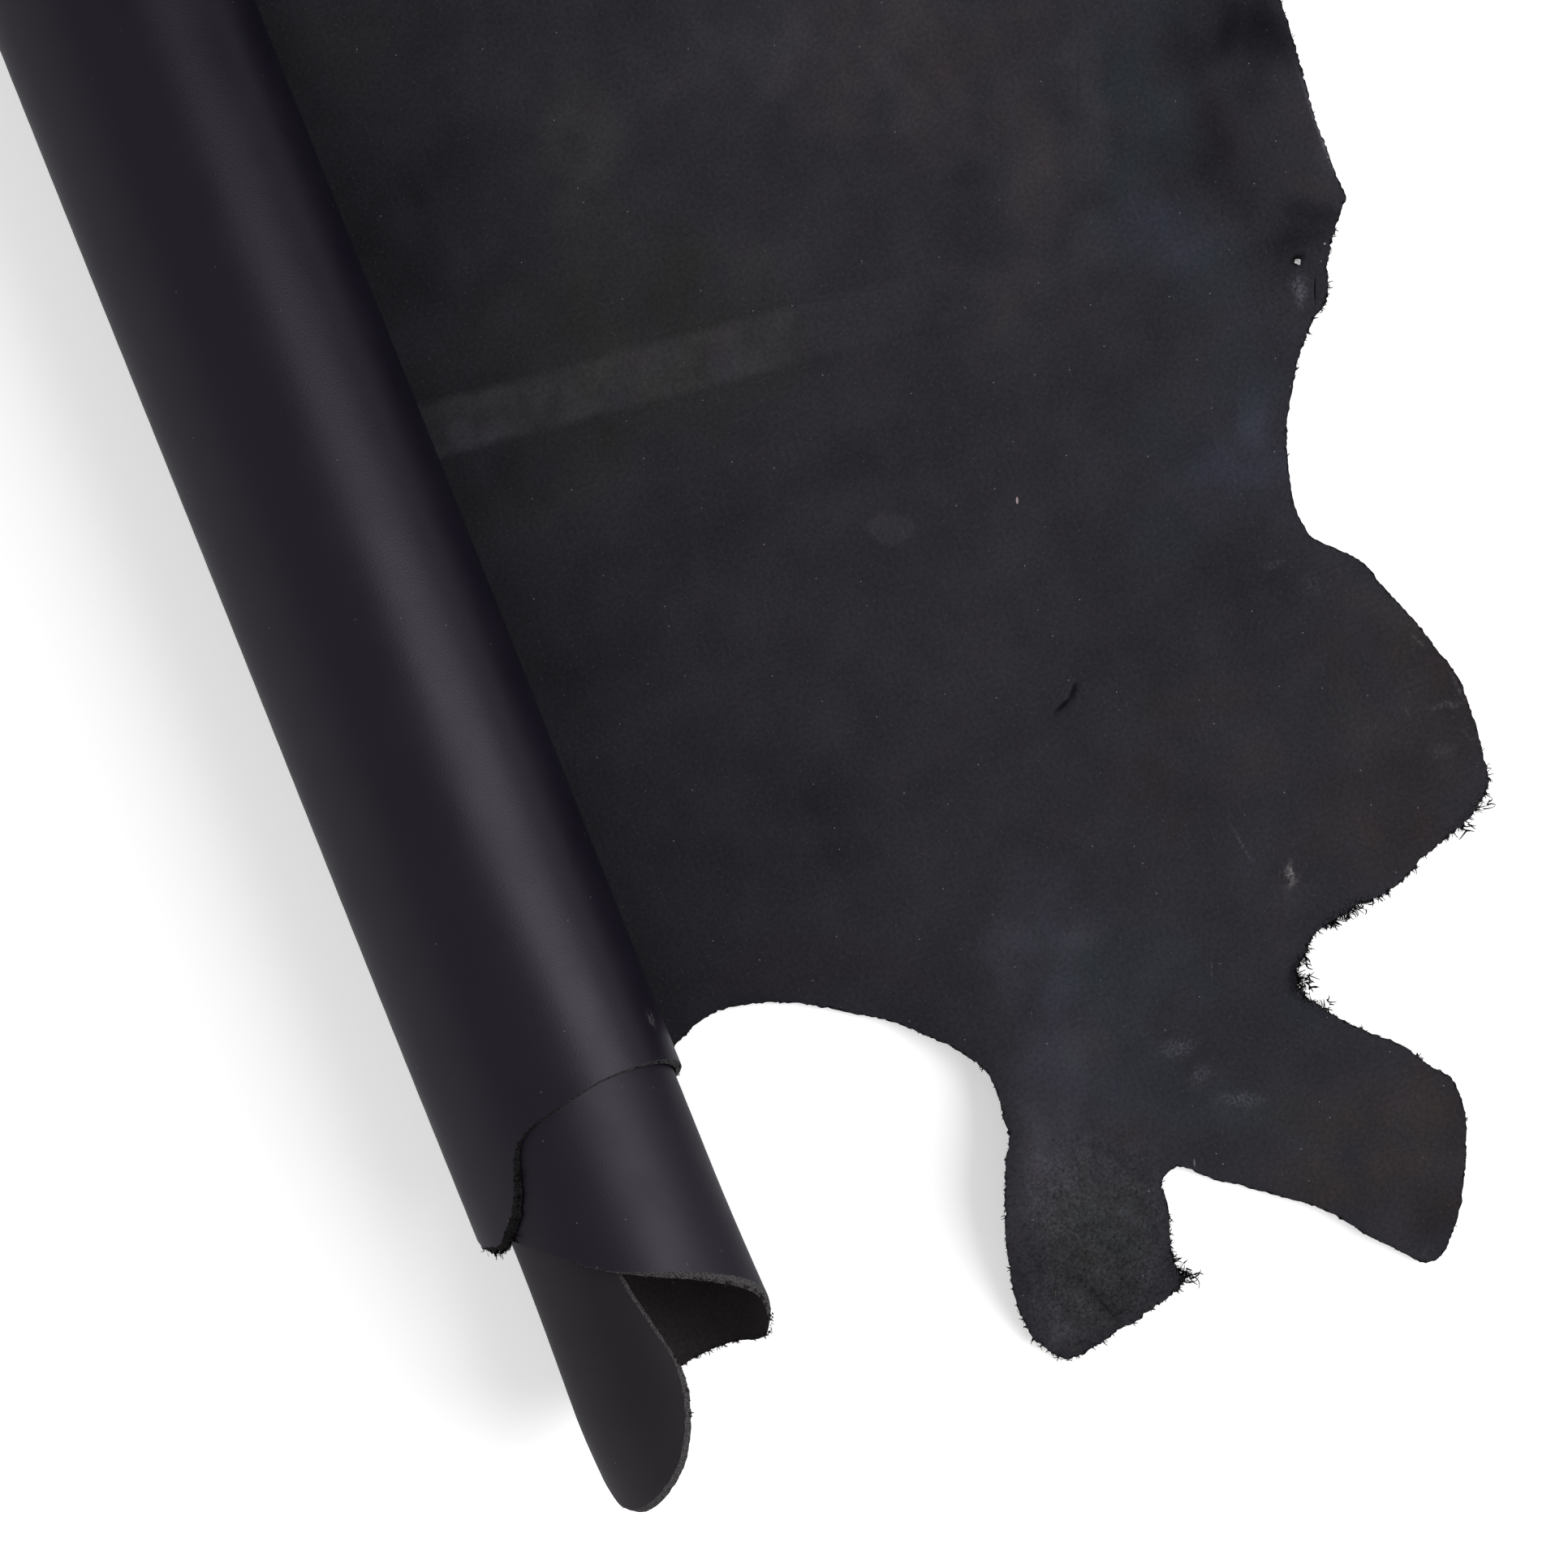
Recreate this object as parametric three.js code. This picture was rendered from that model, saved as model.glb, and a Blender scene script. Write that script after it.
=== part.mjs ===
import * as THREE from 'three';

// A leather side: half of a cattle hide, cut from one piece. It lies on the floor flesh side up,
// and its back half is rolled into a loose scroll with the grain side out. Millimetres, Z up.
//
// The hide is drawn as a flat pattern and then laid and rolled up:
//   across  distance from the line where the roll leaves the floor, towards the belly edge,
//           and negative inside the roll
//   along   distance in the direction of the roll's axis, from the middle of the near end

// Driving dimensions
const THICKNESS = 2.8;
const ROLL_RADIUS = 49.3;
const FAR_END = 1600;
const BACK_TURN = 2.5;

// Mesh steps
const TURN_STEP = 1 / 24;
const FLAT_STEP = 24;
const NEAR_STEP = 40;
const FAR_STEP = 320;
const NEAR_ROWS = { from: -300, to: 340 };
const EDGE_STEP = { near: 7, far: 60 };
const SAME_POINT = 1e-3;

// The scroll's section: radius of the middle of the sheet, by turns from the floor.
// The second turn lies close inside the first, and the third stands free of it on the left.
const SCROLL = [
  { turn: 0.0, radius: ROLL_RADIUS },
  { turn: 0.75, radius: ROLL_RADIUS },
  { turn: 1.0, radius: 45.7 },
  { turn: 1.25, radius: 45.2 },
  { turn: 1.5, radius: 45.6 },
  { turn: 1.75, radius: 45.7 },
  { turn: 2.0, radius: 42.2 },
  { turn: 2.25, radius: 37.3 },
  { turn: 2.6, radius: 38.6 },
];

// The cut edge, round the hide. Inside the roll a point is given by its turn.
const ROLLED_END = [
  { turn: BACK_TURN, along: -100 },
  { turn: 2.502, along: -151 },
  { turn: 2.516, along: -171 },
  { turn: 2.532, along: -197 },
  { turn: 2.526, along: -210 },
  { turn: 2.482, along: -231 },
  { turn: 2.4, along: -243 },
  { turn: 2.32, along: -242 },
  { turn: 2.25, along: -228 },
  { turn: 2.0, along: -205 },
  { turn: 1.9, along: -202 },
  { turn: 1.83, along: -203 },
  { turn: 1.75, along: -188 },
  { turn: 1.61, along: -167 },
  { turn: 1.49, along: -150 },
  { turn: 1.36, along: -126 },
  { turn: 1.25, along: -125 },
  { turn: 1.0, along: -110 },
  { turn: 0.81, along: -93 },
  { turn: 0.6, along: -80 },
  { turn: 0.52, along: -83 },
  { turn: 0.45, along: -90 },
  { turn: 0.402, along: -117 },
  { turn: 0.35, along: -128 },
  { turn: 0.26, along: -124 },
  { turn: 0.15, along: -110 },
];
const ARCH = [
  { across: 0, along: -96 },
  { across: 49, along: -83 },
  { across: 62, along: -78 },
  { across: 78, along: -76 },
  { across: 97, along: -81 },
  { across: 121, along: -97 },
  { across: 147, along: -119 },
  { across: 163, along: -140 },
  { across: 164, along: -160 },
];
const INNER_SHANK = [
  { across: 156, along: -180 },
  { across: 143, along: -215 },
  { across: 140, along: -239 },
  { across: 146, along: -258 },
  { across: 154, along: -262 },
  { across: 185, along: -257 },
  { across: 207, along: -247 },
  { across: 207, along: -237 },
  { across: 211, along: -220 },
  { across: 213, along: -208 },
];
const OUTER_SHANK = [
  { across: 223, along: -206 },
  { across: 246, along: -226 },
  { across: 274, along: -249 },
  { across: 298, along: -278 },
  { across: 309, along: -280 },
  { across: 320, along: -268 },
  { across: 335, along: -238 },
  { across: 340, along: -224 },
  { across: 336, along: -209 },
  { across: 308, along: -177 },
  { across: 297, along: -157 },
];
const BELLY = [
  { across: 297, along: -149 },
  { across: 307, along: -138 },
  { across: 337, along: -132 },
  { across: 355, along: -129 },
  { across: 393, along: -113 },
  { across: 403, along: -85 },
  { across: 402, along: -58 },
  { across: 386, along: -10 },
  { across: 369, along: 13 },
  { across: 367, along: 24 },
  { across: 374, along: 53 },
  { across: 396, along: 90 },
  { across: 412, along: 105 },
  { across: 421, along: 122 },
  { across: 432, along: 137 },
  { across: 430, along: 162 },
  { across: 434, along: 223 },
];
const FAR_BELLY = [
  { across: 428, along: 320 },
  { across: 402, along: 480 },
  { across: 386, along: 680 },
  { across: 388, along: 900 },
  { across: 400, along: 1080 },
  { across: 430, along: 1210 },
  { across: 446, along: 1290 },
  { across: 436, along: 1350 },
  { across: 392, along: 1395 },
  { across: 358, along: 1450 },
  { across: 318, along: 1530 },
  { across: 240, along: 1580 },
  { across: 110, along: FAR_END - 4 },
];
const ROLLED_FAR_END = [
  { turn: 0.1, along: FAR_END },
  { turn: 0.6, along: FAR_END - 6 },
  { turn: 1.2, along: FAR_END },
  { turn: 1.8, along: FAR_END - 10 },
  { turn: 2.3, along: FAR_END - 24 },
  { turn: BACK_TURN - 0.02, along: FAR_END - 48 },
  { turn: BACK_TURN, along: FAR_END - 100 },
  { turn: BACK_TURN + 0.01, along: 1000 },
  { turn: BACK_TURN, along: 400 },
];

// Where the flat hide stands off the floor: soft rises that are highest at the cut edge
const RISES = [
  { across: 158, along: -176, reach: 88, rise: 15 },
  { across: 448, along: 200, reach: 84, rise: 13 },
  { across: 268, along: -262, reach: 44, rise: 4 },
  { across: 352, along: -250, reach: 42, rise: 3 },
  { across: 428, along: -76, reach: 60, rise: 4 },
  { across: 462, along: 1280, reach: 150, rise: 9 },
];

const MIDDLE = THICKNESS / 2;
const { smoothstep, lerp } = THREE.MathUtils;

// Radius of the scroll after a number of turns
function scrollRadius(turn) {
  const next = Math.max(1, SCROLL.findIndex((row) => row.turn >= turn));
  const [from, to] = [SCROLL[next - 1], SCROLL[next]];
  return lerp(from.radius, to.radius, smoothstep(turn, from.turn, to.turn));
}

// Middle of the sheet in the roll's section, with the axis above across = 0
function scrollPoint(turn) {
  const angle = 2 * Math.PI * turn;
  const radius = scrollRadius(turn);
  return new THREE.Vector2(-radius * Math.sin(angle), MIDDLE + ROLL_RADIUS - radius * Math.cos(angle));
}

// Length of sheet rolled up, by turns, in steps fine enough to measure along the curve
const ROLLED = measureScroll(SCROLL.at(-1).turn, 1 / 360);

function measureScroll(lastTurn, step) {
  const rows = [{ turn: 0, length: 0 }];
  let previous = scrollPoint(0);
  for (let turn = step; turn <= lastTurn; turn += step) {
    const point = scrollPoint(turn);
    rows.push({ turn, length: rows.at(-1).length + point.distanceTo(previous) });
    previous = point;
  }
  return rows;
}

// Reads one column of the measured scroll from another
function lookUp(value, from, to) {
  const next = Math.max(1, ROLLED.findIndex((row) => row[from] >= value));
  const [a, b] = [ROLLED[next - 1], ROLLED[next]];
  return lerp(a[to], b[to], (value - a[from]) / (b[from] - a[from]));
}

// Height of the flat hide over the floor
function riseAt(across, along) {
  let height = 0;
  for (const { across: x, along: y, reach, rise } of RISES) {
    const distance = Math.hypot(across - x, along - y);
    height += rise * (1 - smoothstep(distance, 0, reach));
  }
  return height;
}

// Point of the hide in space, out from the middle of the sheet towards its flesh side
function place(across, along, out) {
  if (across < 0) {
    const step = 1e-3;
    const turn = lookUp(-across, 'length', 'turn');
    const point = scrollPoint(turn);
    const run = scrollPoint(turn + step).sub(scrollPoint(turn - step)).normalize();
    return new THREE.Vector3(point.x + out * run.y, along, point.y - out * run.x);
  }
  const step = 0.5;
  const slopeX = (riseAt(across + step, along) - riseAt(across - step, along)) / (2 * step);
  const slopeY = (riseAt(across, along + step) - riseAt(across, along - step)) / (2 * step);
  const normal = new THREE.Vector3(-slopeX, -slopeY, 1).normalize();
  return new THREE.Vector3(across, along, MIDDLE + riseAt(across, along)).addScaledVector(normal, out);
}

// The pattern's outline: a smooth closed curve through the edge tables
function cutOutline() {
  const rows = [
    ROLLED_END, ARCH, INNER_SHANK, OUTER_SHANK, BELLY, FAR_BELLY, ROLLED_FAR_END,
  ].flat();
  const marks = rows.map(({ turn, across, along }) => {
    return new THREE.Vector3(across ?? -lookUp(turn, 'turn', 'length'), along, 0);
  });
  const outline = [];
  marks.forEach((mark, i) => {
    const [before, after, last] = [i - 1, i + 1, i + 2].map((k) => marks.at(k % marks.length));
    const span = new THREE.CatmullRomCurve3([before, mark, after, last]);
    const step = Math.max(mark.y, after.y) > NEAR_ROWS.to ? EDGE_STEP.far : EDGE_STEP.near;
    const count = Math.max(1, Math.round(mark.distanceTo(after) / step));
    for (let k = 0; k < count; k += 1) {
      const point = span.getPoint((1 + k / count) / 3);
      outline.push(new THREE.Vector2(point.x, point.y));
    }
  });
  return outline;
}

// Numbers from one end to the other, no more than a step apart
function steps(from, to, step) {
  const count = Math.ceil((to - from) / step);
  return Array.from({ length: count }, (_, i) => lerp(from, to, i / count));
}

// Keeps the part of a polygon on one side of a line across x or y
function trim(polygon, axis, line, side) {
  const kept = [];
  polygon.forEach((point, i) => {
    const next = polygon[(i + 1) % polygon.length];
    const here = side * (point[axis] - line);
    const there = side * (next[axis] - line);
    if (here >= 0) kept.push(point);
    if (here * there < 0) {
      const crossing = point.clone().lerp(next, here / (here - there));
      crossing[axis] = line;
      kept.push(crossing);
    }
  });
  return kept;
}

function between(polygon, axis, low, high) {
  return trim(trim(polygon, axis, low, 1), axis, high, -1);
}

// Cuts the pattern along lines across and along the hide, so that each cell can bend at its edges
function cutPattern(outline) {
  const widest = Math.max(...outline.map((point) => point.x));
  const rolled = steps(0, SCROLL.at(-1).turn, TURN_STEP).slice(1);
  const columns = [
    ...rolled.map((turn) => -lookUp(turn, 'turn', 'length')).reverse(),
    ...steps(0, widest, FLAT_STEP),
    widest,
  ];
  const rows = [
    ...steps(NEAR_ROWS.from, NEAR_ROWS.to, NEAR_STEP),
    ...steps(NEAR_ROWS.to, FAR_END, FAR_STEP),
    FAR_END + FAR_STEP,
  ];
  const points = [];
  const numbers = new Map();
  const number = (point) => {
    const key = [point.x, point.y].map((value) => Math.round(value / SAME_POINT)).join();
    if (!numbers.has(key)) numbers.set(key, points.push(point) - 1);
    return numbers.get(key);
  };
  const triangles = [];
  for (let i = 0; i + 1 < columns.length; i += 1) {
    const strip = between(outline, 'x', columns[i], columns[i + 1]);
    for (let j = 0; j + 1 < rows.length; j += 1) {
      const cell = between(strip, 'y', rows[j], rows[j + 1]);
      for (const face of THREE.ShapeUtils.triangulateShape(cell, [])) {
        const corners = face.map((k) => number(cell[k]));
        if (new Set(corners).size === 3) triangles.push(corners);
      }
    }
  }
  return { points, triangles };
}

// The laid and rolled hide as one closed solid: grain face, flesh face and the cut edge between them
function hideGeometry() {
  const { points, triangles } = cutPattern(cutOutline());
  const flesh = points.map((point) => place(point.x, point.y, MIDDLE));
  const grain = points.map((point) => place(point.x, point.y, -MIDDLE));
  const under = points.length;
  const edges = new Set();
  const index = [];
  for (const [a, b, c] of triangles) {
    index.push(a, b, c, under + a, under + c, under + b);
    for (const edge of [[a, b], [b, c], [c, a]]) edges.add(edge.join());
  }
  for (const edge of edges) {
    const [a, b] = edge.split(',').map(Number);
    if (!edges.has([b, a].join())) index.push(a, under + a, b, b, under + a, under + b);
  }
  const geometry = new THREE.BufferGeometry().setFromPoints([...flesh, ...grain]);
  geometry.setIndex(index);
  geometry.computeVertexNormals();
  return geometry;
}

// Stands the middle of the hide's box over the origin, on the floor
function makeHide() {
  const leather = new THREE.MeshStandardMaterial({ color: 0x27262a, roughness: 0.62, metalness: 0 });
  const hide = new THREE.Mesh(hideGeometry(), leather);
  hide.name = 'leather_side';
  const middle = new THREE.Box3().setFromObject(hide).getCenter(new THREE.Vector3());
  hide.position.set(-middle.x, -middle.y, 0);
  return hide;
}

const leatherSide = new THREE.Group();
leatherSide.add(makeHide());

export default leatherSide;
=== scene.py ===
"""A black leather side on a white floor: belly half flat, flesh side up, and back half rolled up.

The hide is drawn as a flat pattern in millimetres and then laid and rolled up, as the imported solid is:
    across  distance from the line where the roll leaves the floor, and negative inside the roll
    along   distance in the direction of the roll's axis
Its finishes read the same pattern in metres.
"""
import logging
import math
from dataclasses import dataclass
from enum import Enum, IntEnum
from functools import cached_property
from typing import NamedTuple

import bpy
import numpy as np
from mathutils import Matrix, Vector
from mathutils.geometry import delaunay_2d_cdt
from mathutils.kdtree import KDTree


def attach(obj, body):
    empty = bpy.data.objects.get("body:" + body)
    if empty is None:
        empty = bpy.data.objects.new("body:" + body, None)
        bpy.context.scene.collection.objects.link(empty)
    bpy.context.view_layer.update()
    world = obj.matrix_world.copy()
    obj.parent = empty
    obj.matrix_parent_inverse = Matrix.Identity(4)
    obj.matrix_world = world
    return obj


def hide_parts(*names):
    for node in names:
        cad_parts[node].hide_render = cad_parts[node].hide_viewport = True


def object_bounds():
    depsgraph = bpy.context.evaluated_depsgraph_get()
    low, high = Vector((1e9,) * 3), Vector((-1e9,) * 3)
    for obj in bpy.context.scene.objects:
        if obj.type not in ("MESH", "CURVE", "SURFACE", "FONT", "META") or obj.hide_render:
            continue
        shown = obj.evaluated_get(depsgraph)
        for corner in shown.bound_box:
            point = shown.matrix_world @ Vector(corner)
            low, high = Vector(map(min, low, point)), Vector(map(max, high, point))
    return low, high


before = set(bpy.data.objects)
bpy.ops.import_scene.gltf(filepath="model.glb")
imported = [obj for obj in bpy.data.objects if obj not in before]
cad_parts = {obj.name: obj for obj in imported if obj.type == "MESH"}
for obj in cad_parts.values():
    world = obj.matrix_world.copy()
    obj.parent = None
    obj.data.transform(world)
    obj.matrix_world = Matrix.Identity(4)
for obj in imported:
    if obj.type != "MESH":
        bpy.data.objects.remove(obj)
CAD_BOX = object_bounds()

LOG = logging.getLogger("leather_side")
MM = 0.001
Array = np.ndarray
Dice = np.random.Generator
Socket = bpy.types.NodeSocket
Inputs = dict[int | str, object]
Colour = tuple[float, float, float]
Span = tuple[float, float]


class RolledCut(NamedTuple):
    """A point of the cut edge inside the roll: turns from the floor, distance along, and how frayed."""

    turn: float
    along: float
    fray: float


class FlatCut(NamedTuple):
    """A point of the cut edge on the flat hide, and how frayed it is, from 0 to 1."""

    across: float
    along: float
    fray: float


class Turn(NamedTuple):
    """The scroll's radius, at the middle of the sheet, after a number of turns from the floor."""

    turn: float
    radius: float


class Swell(NamedTuple):
    """A swelling of the roll: its height, and where it sets in towards the near end and in turns."""

    height: float
    along: float
    along_reach: float
    turn: float
    turn_reach: float

    def at(self, turn: Array, along: Array) -> Array:
        """Height of the swelling at places of the roll."""
        nearer = smooth((self.along - along) / self.along_reach)
        return self.height * nearer * smooth((turn - self.turn) / self.turn_reach)


class Wave(NamedTuple):
    """One size of soft waves: their share, length and seed."""

    share: float
    length: float
    seed: int


class Rise(NamedTuple):
    """A soft rise of the flat hide off the floor, highest in its middle."""

    across: float
    along: float
    reach: float
    height: float


class Crease(NamedTuple):
    """A soft ridge, or with a negative height a trough, between two points of the flat hide."""

    across: float
    along: float
    to_across: float
    to_along: float
    width: float
    height: float


class Peak(NamedTuple):
    """A point of a crest and its height."""

    across: float
    along: float
    height: float


class Crest(NamedTuple):
    """A ridge through several peaks that falls away softly on one side and ever steeper on the other."""

    peaks: tuple[Peak, ...]
    soft_reach: float
    steep_reach: float


class Slit(NamedTuple):
    """A cut into the flesh side through three points."""

    start: Span
    middle: Span
    end: Span
    width: float
    depth: float


class Patch(NamedTuple):
    """A rectangle of the pattern and the distances between the sheet's points in it."""

    across: float
    to_across: float
    along: float
    to_along: float
    step_across: float
    step_along: float


class CutRow(NamedTuple):
    """A row of points on the cut face: how far it is slanted, its distance out, and how rough it is."""

    share: float
    out: float
    rough: float


class Nap(NamedTuple):
    """A fuzzy patch of the flesh side: its middle, two radii, and the number and shade of its fibres."""

    across: float
    along: float
    reach_across: float
    reach_along: float
    count: int
    shade: float


class Clump(NamedTuple):
    """A clump of fibres at the cut edge: its root, heading in degrees, length and number of fibres."""

    across: float
    along: float
    heading: float
    length: float
    count: int


class Ramp(NamedTuple):
    """A range of values and what its ends become."""

    low: float
    high: float
    to_low: float
    to_high: float


class Mottle(NamedTuple):
    """A noise, its size in metres, and the values that it becomes."""

    size: float
    detail: float
    ramp: Ramp


class Specks(NamedTuple):
    """Scattered specks: spacing and radius in metres, share of places that have one, and shade."""

    spacing: float
    radius: float
    share: float
    shade: float


class Face(IntEnum):
    """The hide's faces, in the order of their finishes."""

    FLESH = 0
    GRAIN = 1
    CUT = 2


class Tone(Enum):
    """Casts on the flesh side, as multiples of its plain colour."""

    PALE = (1.5, 1.49, 1.46)
    CHALK = (2.5, 2.45, 2.4)
    WHITE = (12.0, 12.0, 11.5)
    DARK = (0.6, 0.6, 0.62)
    BLACK = (0.25, 0.25, 0.26)
    BLUE = (1.2, 1.21, 1.34)
    TEAL = (0.97, 1.1, 1.1)
    ROSE = (1.5, 1.39, 1.28)
    BROWN = (1.2, 1.08, 0.96)
    RUST = (1.24, 1.08, 0.89)
    OLIVE = (1.17, 1.18, 1.08)
    TAN = (17.0, 13.5, 11.0)
    CREAM = (11.0, 10.8, 9.0)
    MOSS = (0.98, 1.0, 0.85)
    SAGE = (0.95, 1.02, 0.96)
    PLUM = (1.05, 0.96, 1.0)


class Mark(NamedTuple):
    """An oval mark: middle, half length, half width, heading in degrees, softness, strength and tone."""

    across: float
    along: float
    length: float
    width: float
    heading: float
    soft: float = 0.9
    strength: float = 1.0
    tone: Tone | None = None


THICKNESS = 2.8
MIDDLE = THICKNESS / 2
ROLL_RADIUS = 49.3
BACK_TURN = 2.5
# Beyond this distance along, the hide is plain and its points lie far apart.
NEAR_END = 440.0
FAR_END = 1600.0
RIPPLE_WAVES = 7
RIPPLE_SPAN = (0.7, 1.6)
SPECK_TINT = (1.0, 0.97, 0.92)
SPECK_PICK = 0.4
SPECK_RIM = (0.5, 1.5)
NOISE_ROUGHNESS = 0.55
WARP_DETAIL = 3.0
TINY = 1e-12

SCROLL = [
    Turn(0.0, ROLL_RADIUS),
    Turn(0.75, ROLL_RADIUS),
    Turn(1.0, 45.7),
    Turn(1.25, 45.2),
    Turn(1.5, 45.6),
    Turn(1.75, 45.7),
    Turn(2.0, 42.2),
    Turn(2.25, 37.3),
    Turn(2.6, 38.6),
]

# The cut edge, once round the hide: from the back, through the near end of the roll, along the belly.
ROLLED_END = [
    RolledCut(BACK_TURN, -100, 0.3),
    RolledCut(2.502, -151, 0.25),
    RolledCut(2.516, -171, 0.27),
    RolledCut(2.537, -197, 0.3),
    RolledCut(2.526, -210, 0.3),
    RolledCut(2.482, -231, 0.22),
    RolledCut(2.4, -243, 0.1),
    RolledCut(2.32, -242, 0.1),
    RolledCut(2.25, -228, 0.1),
    RolledCut(2.0, -205, 0.6),
    RolledCut(1.9, -202, 0.7),
    RolledCut(1.83, -203, 0.6),
    RolledCut(1.75, -188, 0.5),
    RolledCut(1.61, -167, 0.45),
    RolledCut(1.53, -156, 0.35),
    RolledCut(1.49, -150, 0.2),
    RolledCut(1.36, -126, 0.1),
    RolledCut(1.25, -125, 0.1),
    RolledCut(1.0, -110, 0.2),
    RolledCut(0.81, -93, 0.2),
    RolledCut(0.6, -80, 0.12),
    RolledCut(0.52, -83, 0.15),
    RolledCut(0.45, -90, 0.25),
    RolledCut(0.402, -117, 0.45),
    RolledCut(0.35, -128, 0.6),
    RolledCut(0.26, -124, 0.6),
    RolledCut(0.15, -110, 0.3),
]
ARCH = [
    FlatCut(0, -96, 0.15),
    FlatCut(49, -82.2, 0.15),
    FlatCut(62, -76.9, 0.15),
    FlatCut(78, -76.6, 0.15),
    FlatCut(97, -82.3, 0.15),
    FlatCut(121, -97, 0.15),
    FlatCut(147.6, -118.2, 0.15),
    FlatCut(162.6, -139.6, 0.25),
    FlatCut(161.8, -160.5, 0.3),
]
INNER_SHANK = [
    FlatCut(153.4, -181, 0.35),
    FlatCut(141.7, -215.4, 0.35),
    FlatCut(139.2, -239, 0.4),
    FlatCut(145.6, -257.6, 0.6),
    FlatCut(152, -261.4, 0.6),
    FlatCut(161.5, -260.5, 0.5),
    FlatCut(175, -258, 0.35),
    FlatCut(194.4, -254.2, 0.4),
    FlatCut(205, -250.4, 0.8),
    FlatCut(209.3, -248, 1.0),
    FlatCut(206.4, -244.6, 0.9),
    FlatCut(206.8, -237, 0.7),
    FlatCut(211.4, -219, 0.4),
    FlatCut(213.2, -207.2, 0.3),
]
OUTER_SHANK = [
    FlatCut(222.2, -205, 0.15),
    FlatCut(232, -214, 0.15),
    FlatCut(250.5, -228, 0.15),
    FlatCut(270, -243.4, 0.12),
    FlatCut(283.3, -260, 0.1),
    FlatCut(294.7, -273, 0.1),
    FlatCut(300, -278.6, 0.1),
    FlatCut(307.4, -279.3, 0.1),
    FlatCut(317.6, -270.7, 0.15),
    FlatCut(325, -260, 0.15),
    FlatCut(333, -243.4, 0.15),
    FlatCut(339.6, -225, 0.2),
    FlatCut(339.4, -213, 0.25),
    FlatCut(334, -205.3, 0.3),
    FlatCut(325.4, -193.7, 0.35),
    FlatCut(316, -184, 0.4),
    FlatCut(306, -174.6, 0.35),
    FlatCut(301.2, -167.2, 0.7),
    FlatCut(296, -157, 0.95),
]
BELLY = [
    FlatCut(296.5, -150, 1.0),
    FlatCut(301, -144.5, 0.9),
    FlatCut(306.5, -138.5, 0.5),
    FlatCut(315.2, -135, 0.9),
    FlatCut(328, -133.2, 0.9),
    FlatCut(340, -133, 0.6),
    FlatCut(346, -132.3, 0.4),
    FlatCut(354.5, -129.3, 0.45),
    FlatCut(363.7, -124.6, 0.5),
    FlatCut(373.5, -121, 0.6),
    FlatCut(383.2, -118.2, 0.75),
    FlatCut(393.8, -112, 0.75),
    FlatCut(398, -105.2, 0.5),
    FlatCut(400.5, -95, 0.3),
    FlatCut(402.7, -72.6, 0.2),
    FlatCut(402, -58.8, 0.15),
    FlatCut(392.2, -26, 0.15),
    FlatCut(387.4, -13.9, 0.15),
    FlatCut(385.9, -7.1, 0.15),
    FlatCut(380.3, 1.6, 0.15),
    FlatCut(372.1, 9.9, 0.15),
    FlatCut(368, 15.2, 0.15),
    FlatCut(366.3, 23, 0.2),
    FlatCut(373.2, 53.4, 0.25),
    FlatCut(384.4, 75.2, 0.3),
    FlatCut(396, 90, 0.35),
    FlatCut(402.5, 97, 0.4),
    FlatCut(407.6, 100.4, 0.45),
    FlatCut(413, 107, 0.5),
    FlatCut(417.4, 117.2, 0.4),
    FlatCut(421.4, 124.6, 0.35),
    FlatCut(428.4, 133.3, 0.25),
    FlatCut(432.7, 137.4, 0.2),
    FlatCut(432.3, 144, 0.25),
    FlatCut(432.6, 156.6, 0.3),
    FlatCut(433.8, 179, 0.35),
    FlatCut(437.4, 223, 0.35),
]
FAR_BELLY = [
    FlatCut(430, 320, 0.35),
    FlatCut(402, 480, 0.3),
    FlatCut(386, 680, 0.3),
    FlatCut(388, 900, 0.3),
    FlatCut(400, 1080, 0.3),
    FlatCut(430, 1210, 0.3),
    FlatCut(446, 1290, 0.3),
    FlatCut(436, 1350, 0.3),
    FlatCut(392, 1395, 0.3),
    FlatCut(358, 1450, 0.3),
    FlatCut(318, 1530, 0.3),
    FlatCut(240, 1580, 0.3),
    FlatCut(110, FAR_END - 4, 0.3),
]
ROLLED_FAR_END = [
    RolledCut(0.1, FAR_END, 0.2),
    RolledCut(0.6, FAR_END - 6, 0.2),
    RolledCut(1.2, FAR_END, 0.2),
    RolledCut(1.8, FAR_END - 10, 0.2),
    RolledCut(2.3, FAR_END - 24, 0.2),
    RolledCut(BACK_TURN - 0.02, FAR_END - 48, 0.2),
    RolledCut(BACK_TURN, FAR_END - 100, 0.2),
    RolledCut(BACK_TURN + 0.01, 1000, 0.2),
    RolledCut(BACK_TURN, 400, 0.2),
]

# How the flat part lies on the floor.
RISES = [
    Rise(152, -177, 88, 26),
    Rise(454, 246, 54, 12),
    Rise(268, -262, 44, 4),
    Rise(352, -250, 42, 3),
    Rise(428, -76, 60, 4),
    Rise(462, 1280, 150, 9),
]
CREASES = [
    Crease(167, -234, 175, -256, 3.2, -2.4),
    Crease(146, -256, 156, -250, 6, -1.5),
    Crease(344, 205, 358, 243, 3, -0.4),
]
CRESTS = [
    Crest((Peak(407, 200, 5.0), Peak(401, 184, 7.0), Peak(396.5, 168, 8.0), Peak(404.5, 152.5, 8.0),
           Peak(418, 141, 6.0), Peak(429, 133, 4.0)), 22, 35),
]
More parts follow.
